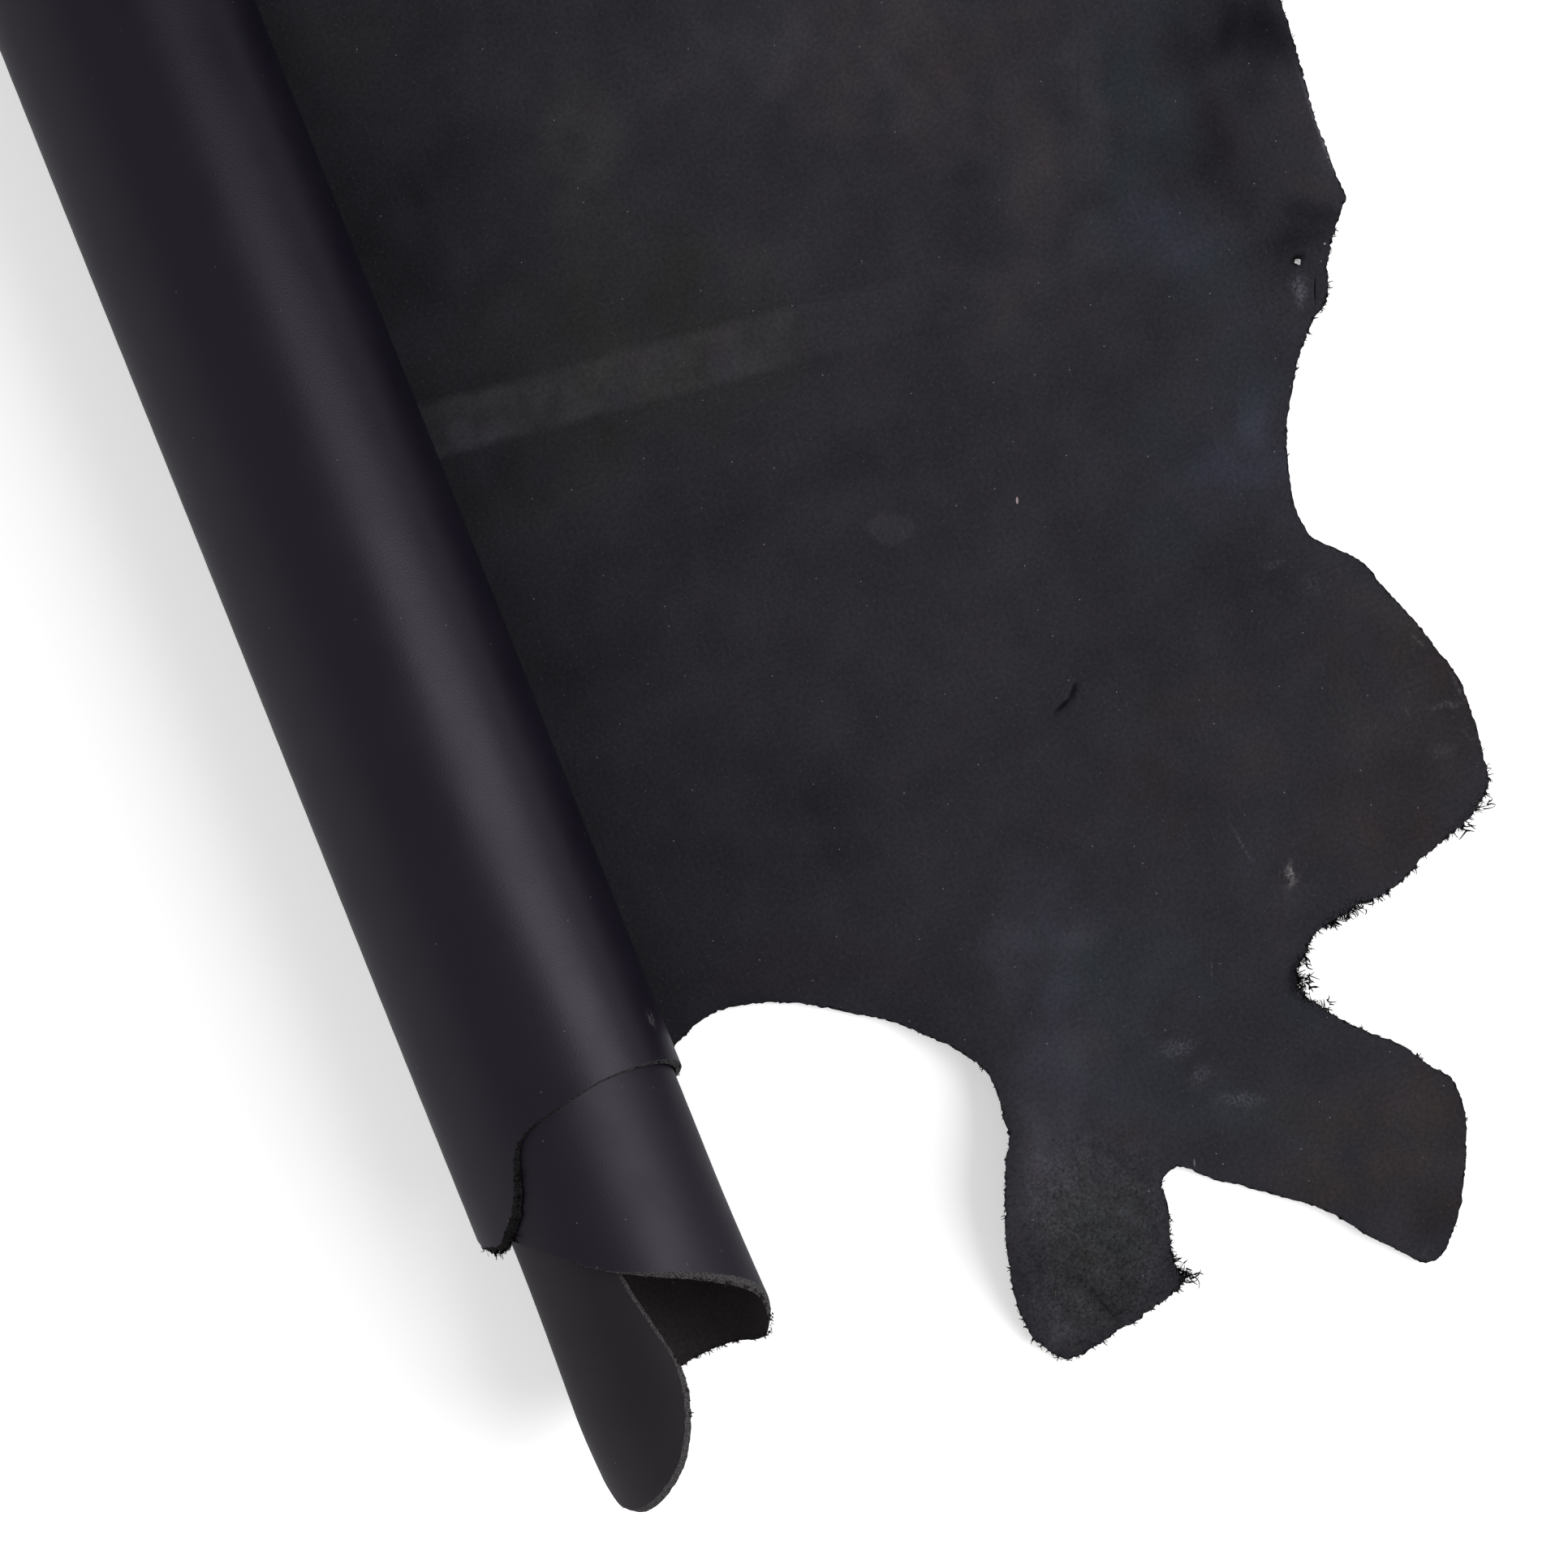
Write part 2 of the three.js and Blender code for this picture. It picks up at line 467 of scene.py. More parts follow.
# Damage and fuzz.
SLITS = [
    Slit((257, -5), (252, -10), (242.4, -14.1), 2.2, 1.5),
    Slit((409.4, 112.9), (407.2, 107.8), (405.2, 102.3), 0.6, 0.9),
]
HOLE = (405.3, 121.2)
HOLE_RADIUS = 1.35
NAPS = [
    Nap(178, -236, 40, 34, 1500, 7.0),
    Nap(160, -205, 22, 44, 700, 8.0),
    Nap(309, -111, 7, 7, 70, 8.0),
    Nap(398, 125, 16, 30, 120, 5.0),
]

CLUMPS = [
    Clump(209.5, -248.5, -62, 7.0, 6),
    Clump(208.5, -246, -30, 4.5, 4),
    Clump(208.5, -242, 20, 3.5, 2),
    Clump(207.5, -235, 20, 2.5, 2),
    Clump(210, -224, 10, 3.0, 3),
    Clump(298, -156, 10, 5.0, 7),
    Clump(298.5, -152.5, -22, 5.0, 8),
    Clump(301.5, -147, -40, 4.0, 5),
    Clump(303, -166.5, 23, 4.5, 6),
    Clump(317, -135.7, -75, 5.0, 6),
    Clump(325, -134.2, -81, 5.5, 7),
    Clump(333, -133.7, -81, 4.5, 4),
    Clump(384.5, -119, -60, 5.0, 5),
    Clump(394.5, -113, -45, 5.5, 6),
]

# Stains are broad and kept with the sheet's points; marks are small and drawn by the finish.
# Some stains and marks are painted shade and painted light, as noted where they stand.
STAINS_AND_SHADE = [
    Mark(288, 262, 78, 60, -22, 0.8, 0.85, Tone.ROSE),
    Mark(318, 198, 42, 24, 68, 0.8, 0.7, Tone.ROSE),
    Mark(301, 156, 28, 16, -20, 0.8, 0.5, Tone.ROSE),
    Mark(284, 143, 20, 14, 0, 0.9, 0.5, Tone.OLIVE),
    Mark(345, 203, 38, 12, 68, 0.9, 0.7, Tone.PALE),
    Mark(353, 228, 22, 14, 68, 0.9, 0.9, Tone.PALE),
    Mark(355, 70, 22, 16, 0, 0.9, 0.3, Tone.PALE),
    Mark(176, -68, 30, 18, 60, 0.9, 0.12, Tone.PALE),
    Mark(304, -121, 18, 13, 0, 0.9, 0.5, Tone.PALE),
    Mark(166, -238, 16, 12, 0, 0.9, 0.4, Tone.PALE),
    Mark(333, 158, 20, 17, 0, 0.9, 0.75, Tone.PALE),
    Mark(369, 74, 28, 12, 68, 0.9, 0.2, Tone.PALE),
    Mark(317, -2, 30, 18, -22, 0.9, 0.35, Tone.DARK),
    Mark(226, 108, 38, 26, -10, 0.9, 0.35, Tone.DARK),
    Mark(208, -182, 18, 12, 0, 0.9, 0.6, Tone.BROWN),
    Mark(220, -105, 16, 11, 0, 0.9, 0.45, Tone.ROSE),
    Mark(136, 190, 18, 13, 0, 0.9, 0.3, Tone.ROSE),
    Mark(284, 143, 18, 13, 0, 0.9, 0.4, Tone.BROWN),
    Mark(274, -23, 22, 14, -20, 0.9, 0.35, Tone.OLIVE),
    Mark(312, -66, 28, 16, -20, 0.9, 0.6, Tone.BROWN),
    Mark(388, -28, 28, 9, -68, 0.9, 0.8, Tone.OLIVE),
    Mark(274, -75, 18, 13, 0, 0.9, 0.6, Tone.BROWN),
    Mark(354, -55, 20, 16, 0, 0.9, 0.5, Tone.TEAL),
    Mark(378, -12, 18, 11, -50, 0.9, 0.5, Tone.BROWN),
    Mark(203, -147, 18, 13, 0, 0.9, 0.9, Tone.OLIVE),
    Mark(188, 150, 40, 26, 0, 0.9, 0.2, Tone.OLIVE),
    Mark(329, -222, 24, 12, 75, 0.9, 0.4, Tone.RUST),
    Mark(312, -262, 22, 12, -40, 0.9, 0.35, Tone.DARK),
    Mark(203, -124, 17, 12, 0, 0.9, 0.6, Tone.BLUE),
    Mark(365, 80, 50, 24, 68, 0.9, 0.8, Tone.TEAL),
    Mark(290, -165, 28, 18, -40, 0.9, 0.6, Tone.TEAL),
    Mark(262, -40, 22, 16, -20, 0.9, 0.25, Tone.DARK),
    Mark(316, -258, 24, 14, -40, 0.9, 0.3, Tone.DARK),
    # The two rows below darken where the belly's corner curls up: painted shade.
    Mark(432, 214, 26, 10, 85, 0.8, 0.8, Tone.DARK),
    Mark(414, 224, 24, 12, 70, 0.9, 0.6, Tone.DARK),
    Mark(367, 194, 92, 34, 68, 0.8, 1.0, Tone.TEAL),
    Mark(373, 127, 30, 24, 0, 0.8, 0.9, Tone.TEAL),
    Mark(360, 149, 28, 20, -22, 0.7, 0.95, Tone.BLUE),
    Mark(353, 57, 46, 32, 30, 0.8, 0.9, Tone.BLUE),
    Mark(352, 57, 26, 18, 30, 0.9, 0.6, Tone.BLUE),
    Mark(380, 92, 36, 22, 68, 0.8, 0.15, Tone.BLUE),
    Mark(321, 69, 36, 30, 0, 0.8, 0.6, Tone.TEAL),
    Mark(318, 35, 38, 20, -22, 0.8, 0.8, Tone.TEAL),
    Mark(318, 33, 34, 18, -22, 0.8, 0.3, Tone.DARK),
    Mark(344, 2, 40, 18, -22, 0.8, 0.3, Tone.DARK),
    Mark(331, -21, 26, 18, 0, 0.8, 0.4, Tone.DARK),
    Mark(285, -2, 30, 30, 0, 0.9, 0.35, Tone.DARK),
    Mark(302, -31, 40, 16, -22, 0.8, 0.5, Tone.BROWN),
    Mark(266, -49, 40, 18, -30, 0.8, 0.6, Tone.BROWN),
    Mark(264, -50, 40, 18, -30, 0.9, 0.35, Tone.DARK),
    Mark(374, -31, 34, 24, -22, 0.8, 0.6, Tone.BROWN),
    Mark(378, -76, 62, 56, 0, 0.8, 0.75, Tone.BROWN),
    Mark(342, -111, 46, 26, -10, 0.8, 0.7, Tone.BROWN),
    Mark(348, -116, 40, 18, 10, 0.9, 0.3, Tone.DARK),
    Mark(310, -84, 30, 24, 0, 0.9, 0.2, Tone.PALE),
    Mark(206, -98, 40, 30, 60, 0.8, 0.75, Tone.BLUE),
    Mark(196, -108, 48, 34, 68, 0.9, 0.5, Tone.PALE),
    Mark(190, -150, 44, 26, 68, 0.8, 0.75, Tone.BLUE),
    Mark(180, -162, 44, 22, 68, 0.9, 0.35, Tone.PALE),
    Mark(168, -168, 30, 12, 75, 0.9, 1.0, Tone.PALE),
    Mark(156, -252, 16, 8, 20, 0.9, 0.6, Tone.PALE),
    Mark(235, -126, 48, 38, 0, 0.8, 1.0, Tone.TEAL),
    Mark(230, -128, 40, 30, 0, 0.9, 0.2, Tone.PALE),
    Mark(219, -166, 36, 24, -22, 0.8, 0.9, Tone.TEAL),
    Mark(248, -190, 36, 18, -22, 0.8, 0.8, Tone.TEAL),
    Mark(248, -192, 30, 16, -22, 0.9, 0.2, Tone.PALE),
    Mark(276, -206, 34, 20, -22, 0.8, 0.8, Tone.OLIVE),
    Mark(312, -236, 52, 40, -50, 0.6, 0.95, Tone.BROWN),
    Mark(273, -234, 30, 15, -40, 0.9, 0.7, Tone.RUST),
    Mark(330, -210, 26, 14, -60, 0.9, 0.7, Tone.BROWN),
    Mark(307, -268, 18, 12, -30, 0.9, 0.35, Tone.DARK),
    # Lighter where the inner shank's rise slopes towards the wide light: painted light.
    Mark(174, -186, 34, 24, 68, 0.9, 0.5, Tone.PALE),
    Mark(158, -212, 44, 16, 72, 0.8, 0.4, Tone.PALE),
    Mark(184, -216, 44, 32, 60, 0.8, 0.9, Tone.OLIVE),
    Mark(178, -244, 40, 24, 0, 0.8, 0.4, Tone.OLIVE),
    Mark(180, -222, 46, 30, 60, 0.9, 1.0, Tone.SAGE),
    Mark(152, -244, 18, 9, -70, 0.9, 0.75, Tone.PALE),
    Mark(186, -236, 18, 11, 60, 0.9, 0.35, Tone.DARK),
    # The two rows below darken the crease of the inner shank: painted shade.
    Mark(170, -240, 20, 6, -66, 0.9, 0.6, Tone.DARK),
    Mark(160, -220, 18, 8, -67, 0.9, 0.6, Tone.DARK),
    Mark(149, 268, 66, 28, 68, 0.8, 1.0, Tone.OLIVE),
    Mark(150, 272, 56, 22, 68, 0.9, 0.25, Tone.PALE),
    Mark(228, 288, 66, 42, -10, 0.9, 0.45, Tone.PALE),
    Mark(200, 212, 56, 40, 0, 0.9, 0.25, Tone.PALE),
    Mark(79, 352, 40, 26, 0, 0.9, 0.6, Tone.OLIVE),
    Mark(92, 142, 60, 26, -10, 0.8, 0.5, Tone.OLIVE),
    Mark(145, 190, 108, 68, -10, 0.8, 0.9, Tone.MOSS),
    Mark(76, 178, 50, 40, 0, 0.9, 0.2, Tone.DARK),
    Mark(112, -72, 56, 22, -22, 0.9, 0.8, Tone.PLUM),
    Mark(62, -56, 26, 14, -20, 0.9, 0.3, Tone.DARK),
    Mark(320, 14, 26, 18, -22, 0.9, 0.35, Tone.DARK),
    Mark(357, -22, 22, 16, 0, 0.9, 0.35, Tone.DARK),
    Mark(356, -92, 32, 22, -30, 0.9, 0.3, Tone.DARK),
    Mark(261, -132, 24, 18, 0, 0.9, 0.25, Tone.DARK),
    Mark(49, 322, 90, 26, 90, 0.9, 0.4, Tone.DARK),
    Mark(78, 266, 70, 46, 80, 0.9, 0.55, Tone.DARK),
    Mark(68, 156, 30, 24, 0, 0.9, 0.35, Tone.DARK),
    Mark(133, 112, 50, 28, 0, 0.9, 0.3, Tone.DARK),
    Mark(68, 84, 44, 34, 90, 0.9, 0.3, Tone.DARK),
    Mark(138, -15, 64, 44, -10, 0.9, 0.42, Tone.DARK),
    Mark(220, 118, 60, 26, -10, 0.9, 0.15, Tone.DARK),
    # From here down to the row at (403, 121), the belly's corner: darker where it curls up, on the left
    # of its facet and below its crest, lighter on the facet's right and along the crest, which face the
    # wide light: painted shade and painted highlight.
    Mark(426, 211, 22, 14, 75, 0.8, 1.0, Tone.DARK),
    Mark(425, 230, 32, 15, 70, 0.7, 0.6, Tone.DARK),
    Mark(396, 222, 26, 14, 68, 0.9, 0.75, Tone.DARK),
    Mark(408, 216, 14, 10, 68, 0.9, 0.4, Tone.DARK),
    Mark(411, 192, 18, 13, 68, 0.9, 0.75, Tone.DARK),
    Mark(421, 190, 10, 7, 75, 0.9, 0.4, Tone.DARK),
    Mark(424, 213, 24, 17, 75, 0.8, 0.6, Tone.DARK),
    Mark(396, 182, 26, 10, 83, 0.9, 0.45, Tone.DARK),
    Mark(397, 184, 28, 12, 83, 0.9, 1.0, Tone.PLUM),
    Mark(432, 158, 22, 8, 82, 0.9, 1.0, Tone.PALE),
    Mark(428, 164, 26, 11, 80, 0.9, 0.3, Tone.ROSE),
    Mark(418, 148, 20, 6, -38.5, 0.9, 0.6, Tone.BROWN),
    Mark(416, 138.5, 20, 5.5, -38, 0.7, 1.0, Tone.DARK),
    Mark(409, 131, 18, 10, -22, 0.9, 0.8, Tone.DARK),
    Mark(409, 135, 22, 12, -25, 0.9, 0.45, Tone.DARK),
    Mark(396, 132, 16, 11, -22, 0.9, 0.6, Tone.DARK),
    Mark(403, 121, 13, 11, 0, 0.9, 0.5, Tone.DARK),
    Mark(375, 177, 30, 14, 68, 0.9, 0.35, Tone.DARK),
    Mark(292, 204, 16, 9, 20, 0.9, 0.5, Tone.DARK),
    Mark(297, -152, 15, 6, -80, 0.9, 0.7, Tone.DARK),
]
MARKS = [
    Mark(209.5, 82, 11.5, 8, -30, 0.4, 0.7, Tone.PALE),
    Mark(262, 73, 1.8, 0.6, 70, 0.5, 0.8, Tone.TAN),
    Mark(309, -111, 7.5, 2.4, 70, 0.9, 0.22, Tone.CREAM),
    Mark(297, -150, 14, 5, 49, 0.9, 0.6, Tone.BLACK),
    Mark(309, -111, 9, 5, 62, 0.9, 0.8, Tone.CHALK),
    Mark(295, -92, 12, 1.1, -82, 0.9, 0.7, Tone.CHALK),
    Mark(240, -160, 11, 6, -5, 0.9, 0.9, Tone.CHALK),
    Mark(245, -173, 9, 6, 40, 0.9, 0.7, Tone.CHALK),
    Mark(256, -189, 14, 5, -22, 0.9, 0.8, Tone.CHALK),
    Mark(264.4, -135.3, 8, 0.7, 68, 0.8, 0.8, Tone.CHALK),
    Mark(228.3, -206, 2.2, 0.45, 75, 0.5, 0.3, Tone.WHITE),
    Mark(393, -41, 6, 1.1, -67, 0.8, 0.6, Tone.CHALK),
    Mark(401, -65, 9, 1.3, -86, 0.8, 0.8, Tone.CHALK),
    Mark(394, -70.7, 10, 2.4, -15.5, 0.8, 0.8, Tone.CHALK),
    Mark(378.3, -67, 4, 1.1, -90, 0.8, 0.6, Tone.CHALK),
    Mark(397, -84, 7, 0.9, -78, 0.8, 0.5, Tone.CHALK),
    Mark(401.3, -88, 10, 1.2, -98, 0.8, 0.6, Tone.CHALK),
    Mark(385, -87, 7, 4.5, 0, 0.9, 0.4, Tone.CHALK),
    Mark(350, 10, 6, 3, 0, 0.9, 0.6, Tone.CHALK),
    Mark(361, -4, 10, 6, -30, 0.9, 0.4, Tone.CHALK),
    Mark(401.5, 110, 12, 6, 68, 0.9, 1.0, Tone.CHALK),
    Mark(401.5, 109, 9, 4.4, 68, 0.9, 0.05, Tone.WHITE),
    # A thin bright line along the belly's curled edge: painted highlight.
    Mark(432.6, 172, 30, 1.4, 87, 0.8, 0.1, Tone.WHITE),
    Mark(418, 124, 0.6, 0.5, 0, 0.6, 1.0, Tone.WHITE),
    Mark(150, -256, 9, 6, 30, 0.9, 0.6, Tone.DARK),
    # Darkens the crease of the inner shank: painted shade.
    Mark(172, -246, 13, 1.9, -69, 0.9, 0.6, Tone.BLACK),
    Mark(303, -275, 4, 1.5, 30, 0.6, 0.5, Tone.CHALK),
    # Darkens the shallow crease from (344, 205) to (358, 243): painted shade.
    Mark(349, 223, 24, 1.0, 68, 0.9, 0.5, Tone.DARK),
    Mark(254.5, -7.5, 4.6, 1.3, 44, 0.7, 0.9, Tone.BLACK),
    Mark(247.6, -12, 6.2, 1.3, 24, 0.7, 0.9, Tone.BLACK),
    Mark(*HOLE, 3.2, 3.2, 0, 0.7, 1.0, Tone.BLACK),
]


def smooth(share: Array) -> Array:
    """Eases a share from 0 to 1 in and out."""
    share = np.clip(share, 0.0, 1.0)
    return share * share * (3 - 2 * share)


def unit(vectors: Array) -> Array:
    """Scales each row of an array to length 1."""
    return vectors / np.maximum(np.linalg.norm(vectors, axis=-1, keepdims=True), TINY)


def ripple(u: Array, v: Array, wavelength: float, seed: int) -> Array:
    """Soft random waves over a plane.

    Args:
        u: first coordinate of each point.
        v: second coordinate of each point.
        wavelength: the waves' mean length.
        seed: picks the waves.

    Returns:
        Heights between about -1 and 1.
    """
    dice = np.random.default_rng(seed)
    total = np.zeros(np.broadcast(u, v).shape)
    for _ in range(RIPPLE_WAVES):
        heading, start = dice.uniform(0, 2 * math.pi, 2)
        pace = 2 * math.pi / (wavelength * dice.uniform(*RIPPLE_SPAN))
        total = total + np.sin(pace * (u * math.cos(heading) + v * math.sin(heading)) + start)
    return total / math.sqrt(2 * RIPPLE_WAVES)


@dataclass
class Lie:
    """How the hide lies: rolled up for negative distances across, and on the floor for positive ones."""

    flare: Swell = Swell(2.6, -130.0, 110.0, 1.0, 0.3)
    tip: Swell = Swell(0.8, -200.0, 45.0, 2.0, 0.2)
    lip: Swell = Swell(3.4, 40.0, 130.0, 0.46, 0.14)
    lip_end: float = 0.61
    lip_end_reach: float = 0.15
    dent: float = 0.3
    dent_length: float = 150.0
    dent_round: float = 40.0
    dent_stretch: float = 0.5
    dent_reach: float = 0.15
    dent_seed: int = 5
    wave_height: float = 1.6
    wave_middle: float = 0.5
    wave_from: float = 4.0
    wave_reach: float = 60.0
    waves: tuple[Wave, ...] = (Wave(0.35, 140, 3), Wave(0.15, 46, 4))
    probe: float = 0.4
    scroll_steps: int = 2000

    def __post_init__(self) -> None:
        """Measures the scroll, so that distances on the sheet give turns, and places it in the frame."""
        self.at = np.array([row.turn for row in SCROLL])
        self.radii = np.array([row.radius for row in SCROLL])
        self.turns = np.linspace(0, SCROLL[-1].turn, self.scroll_steps)
        angle = 2 * math.pi * self.turns
        radius = self.radius(self.turns)
        line = np.stack([-radius * np.sin(angle), -radius * np.cos(angle)], 1)
        self.lengths = np.concatenate([[0], np.cumsum(np.linalg.norm(np.diff(line, axis=0), axis=1))])
        self.origin = np.array([CAD_BOX[0].x / MM + ROLL_RADIUS + MIDDLE, 0.0, CAD_BOX[0].z / MM])

    def radius(self, turn: Array) -> Array:
        """Finds the scroll's radius.

        Args:
            turn: turns from the floor.

        Returns:
            The radius after each of them.
        """
        step = np.clip(np.searchsorted(self.at, turn) - 1, 0, len(self.at) - 2)
        share = smooth((turn - self.at[step]) / (self.at[step + 1] - self.at[step]))
        return self.radii[step] + (self.radii[step + 1] - self.radii[step]) * share

    def across(self, turn: Array) -> Array:
        """Distance across the pattern of a number of turns in the roll."""
        return -np.interp(turn, self.turns, self.lengths)

    def rise(self, across: Array, along: Array) -> Array:
        """Adds up the rises, creases, crests and slight waves of the flat hide.

        Args:
            across: distance across the pattern.
            along: distance along the pattern.

        Returns:
            Heights over the floor.
        """
        height = np.zeros(across.shape)
        for row in RISES:
            distance = np.hypot(across - row.across, along - row.along)
            height += row.height * (1 - smooth(distance / row.reach))
        for row in CREASES:
            height += self.crease(row, across, along)
        for row in CRESTS:
            height += self.crest(row, across, along)
        wave = np.full(across.shape, self.wave_middle)
        for row in self.waves:
            wave += row.share * ripple(across, along, row.length, row.seed)
        away = smooth((across - self.wave_from) / self.wave_reach)
        height += self.wave_height * np.clip(wave, 0, 1) * away
        return np.maximum(height, 0)

    def crease(self, row: Crease, across: Array, along: Array) -> Array:
        """Shapes one crease.

        Args:
            row: the crease.
            across: distance across the pattern.
            along: distance along the pattern.

        Returns:
            Its heights.
        """
        run = np.array([row.to_across - row.across, row.to_along - row.along])
        length = np.linalg.norm(run)
        run = run / length
        ahead = (across - row.across) * run[0] + (along - row.along) * run[1]
        aside = (along - row.along) * run[0] - (across - row.across) * run[1]
        fade = smooth((ahead + row.width) / row.width) * smooth((length + row.width - ahead) / row.width)
        return row.height * np.exp(-((aside / row.width) ** 2)) * fade

    def crest(self, row: Crest, across: Array, along: Array) -> Array:
        """Shapes one crest.

        Args:
            row: the crest.
            across: distance across the pattern.
            along: distance along the pattern.

        Returns:
            Its heights.
        """
        nearest = np.full(across.shape, np.inf)
        height = np.zeros(across.shape)
        for start, end in zip(row.peaks, row.peaks[1:]):
            run = np.array([end.across - start.across, end.along - start.along])
            aside = across - start.across
            ahead = along - start.along
            share = np.clip((aside * run[0] + ahead * run[1]) / (run @ run), 0, 1)
            distance = np.hypot(aside - share * run[0], ahead - share * run[1])
            steep = run[0] * ahead - run[1] * aside > 0
            fall = np.where(steep, (distance / row.steep_reach) ** 2, smooth(distance / row.soft_reach))
            peak = start.height + (end.height - start.height) * share
            closer = distance < nearest
            height = np.where(closer, peak * np.maximum(1 - fall, 0), height)
            nearest = np.where(closer, distance, nearest)
        return height

    def middle(self, across: Array, along: Array) -> Array:
        """Finds the middle of the sheet in space.

        Args:
            across: distance across the pattern.
            along: distance along the pattern.

        Returns:
            Points in millimetres from the roll's foot.
        """
        turn = np.interp(-across, self.lengths, self.turns)
        angle = 2 * math.pi * turn
        u = np.cos(angle) * self.dent_round
        v = along * self.dent_stretch + np.sin(angle) * self.dent_round
        dent = self.dent * ripple(u, v, self.dent_length, self.dent_seed)
        dent = dent * smooth(turn / self.dent_reach)
        swell = self.flare.at(turn, along) * (1 - self.tip.at(turn, along))
        swell += self.lip.at(turn, along) * (1 - smooth((turn - self.lip_end) / self.lip_end_reach))
        radius = self.radius(turn) + dent + swell
        height = MIDDLE + ROLL_RADIUS - radius * np.cos(angle)
        rolled = np.stack([-radius * np.sin(angle), along, height], -1)
        flat = np.stack([across, along, MIDDLE + self.rise(across, along)], -1)
        return np.where((across < 0)[..., None], rolled, flat)

    def normal(self, across: Array, along: Array) -> Array:
        """Finds the directions in which the flesh side faces.

        Args:
            across: distance across the pattern.
            along: distance along the pattern.

        Returns:
            Unit normals of the sheet.
        """
        run = self.middle(across + self.probe, along) - self.middle(across - self.probe, along)
        rise = self.middle(across, along + self.probe) - self.middle(across, along - self.probe)
        return unit(np.cross(run, rise))

    def place(self, across: Array, along: Array, out: Array | float) -> Array:
        """Finds points of the hide in the frame.

        Args:
            across: distance across the pattern.
            along: distance along the pattern.
            out: distance from the middle of the sheet towards its flesh side.

        Returns:
            An array of points, in metres.
        """
        out = np.broadcast_to(out, across.shape)[..., None]
        points = self.middle(across, along) + self.normal(across, along) * out
        points[..., 2] = np.maximum(points[..., 2], 0)
        return (points + self.origin) * MM


@dataclass
class CutEdge:
    """The cut edge on the unrolled hide, as a closed line of close points where it shows."""

    lie: Lie
    near_step: float = 1.25
    far_step: float = 16.0
    rolled_step: float = 6.0
    raggedness: float = 0.75
    least_torn: float = 0.3
    fray_torn: float = 0.95
    inner_from: float = -145.0
    inner_torn: float = 0.45
    fine_share: float = 0.5
    broad_share: float = 0.6
    broad_points: int = 9
    seed: int = 11

    def __post_init__(self) -> None:
        """Draws the smooth line, places the hide by it and then frays it."""
        self.points, self.fray = self.smooth_line()
        self.lie.origin[1] = CAD_BOX[0].y / MM - self.points[:, 1].min()
        self.points = self.points + self.inward() * self.notches()[:, None]

    def smooth_line(self) -> tuple[Array, Array]:
        """Runs a smooth closed curve through the edge tables.

        Returns:
            The line's points, and how frayed each is.
        """
        rows = [*ROLLED_END, *ARCH, *INNER_SHANK, *OUTER_SHANK, *BELLY, *FAR_BELLY, *ROLLED_FAR_END]
        marks = np.array([
            (float(self.lie.across(row.turn)) if isinstance(row, RolledCut) else row.across, row.along)
            for row in rows
        ])
        frays = np.array([row.fray for row in rows])
        line = []
        fray = []
        for i in range(len(rows)):
            stops = [marks[(i + k) % len(rows)] for k in (-1, 0, 1, 2)]
            before, start, end, after = stops
            gaps = [math.sqrt(np.linalg.norm(b - a)) for a, b in zip(stops, stops[1:])]
            straight = (end - start) / gaps[1]
            lead = (start - before) / gaps[0] - (end - before) / (gaps[0] + gaps[1]) + straight
            tail = straight - (after - start) / (gaps[1] + gaps[2]) + (after - end) / gaps[2]
            step = self.near_step
            if max(start[1], end[1]) > NEAR_END:
                step = self.far_step if max(start[0], end[0]) > 0 else self.rolled_step
            count = max(1, round(np.linalg.norm(end - start) / step))
            t = (np.arange(count) / count)[:, None]
            bend = (t - 2 * t**2 + t**3) * lead * gaps[1] + (t**3 - t**2) * tail * gaps[1]
            line.append(start + (end - start) * smooth(t) + bend)
            fray.append(np.linspace(frays[i], frays[(i + 1) % len(rows)], count, endpoint=False))
        return np.concatenate(line), np.concatenate(fray)

    def inward(self, reach: int = 1) -> Array:
        """Finds the directions across the line, into the hide.

        Args:
            reach: how many points away the line's direction is taken; more is smoother.

        Returns:
            A unit direction for each point.
        """
        run = unit(np.roll(self.points, -reach, 0) - np.roll(self.points, reach, 0))
        return np.stack([-run[:, 1], run[:, 0]], 1)

    def notches(self) -> Array:
        """Draws how the frayed line wanders from the smooth one.

        Returns:
            A distance for each point.
        """
        dice = np.random.default_rng(self.seed)
        count = len(self.points)
        fine = dice.normal(0, 1, count)
        window = np.full(self.broad_points, 1 / math.sqrt(self.broad_points))
        broad = np.convolve(dice.normal(0, 1, count + self.broad_points - 1), window, "valid")
        torn = self.least_torn + self.fray_torn * self.fray
        torn = torn * np.where(self.points[:, 0] < self.inner_from, self.inner_torn, 1.0)
        torn = torn * (self.points[:, 1] < NEAR_END)
        return self.raggedness * torn * (self.fine_share * fine + self.broad_share * broad)


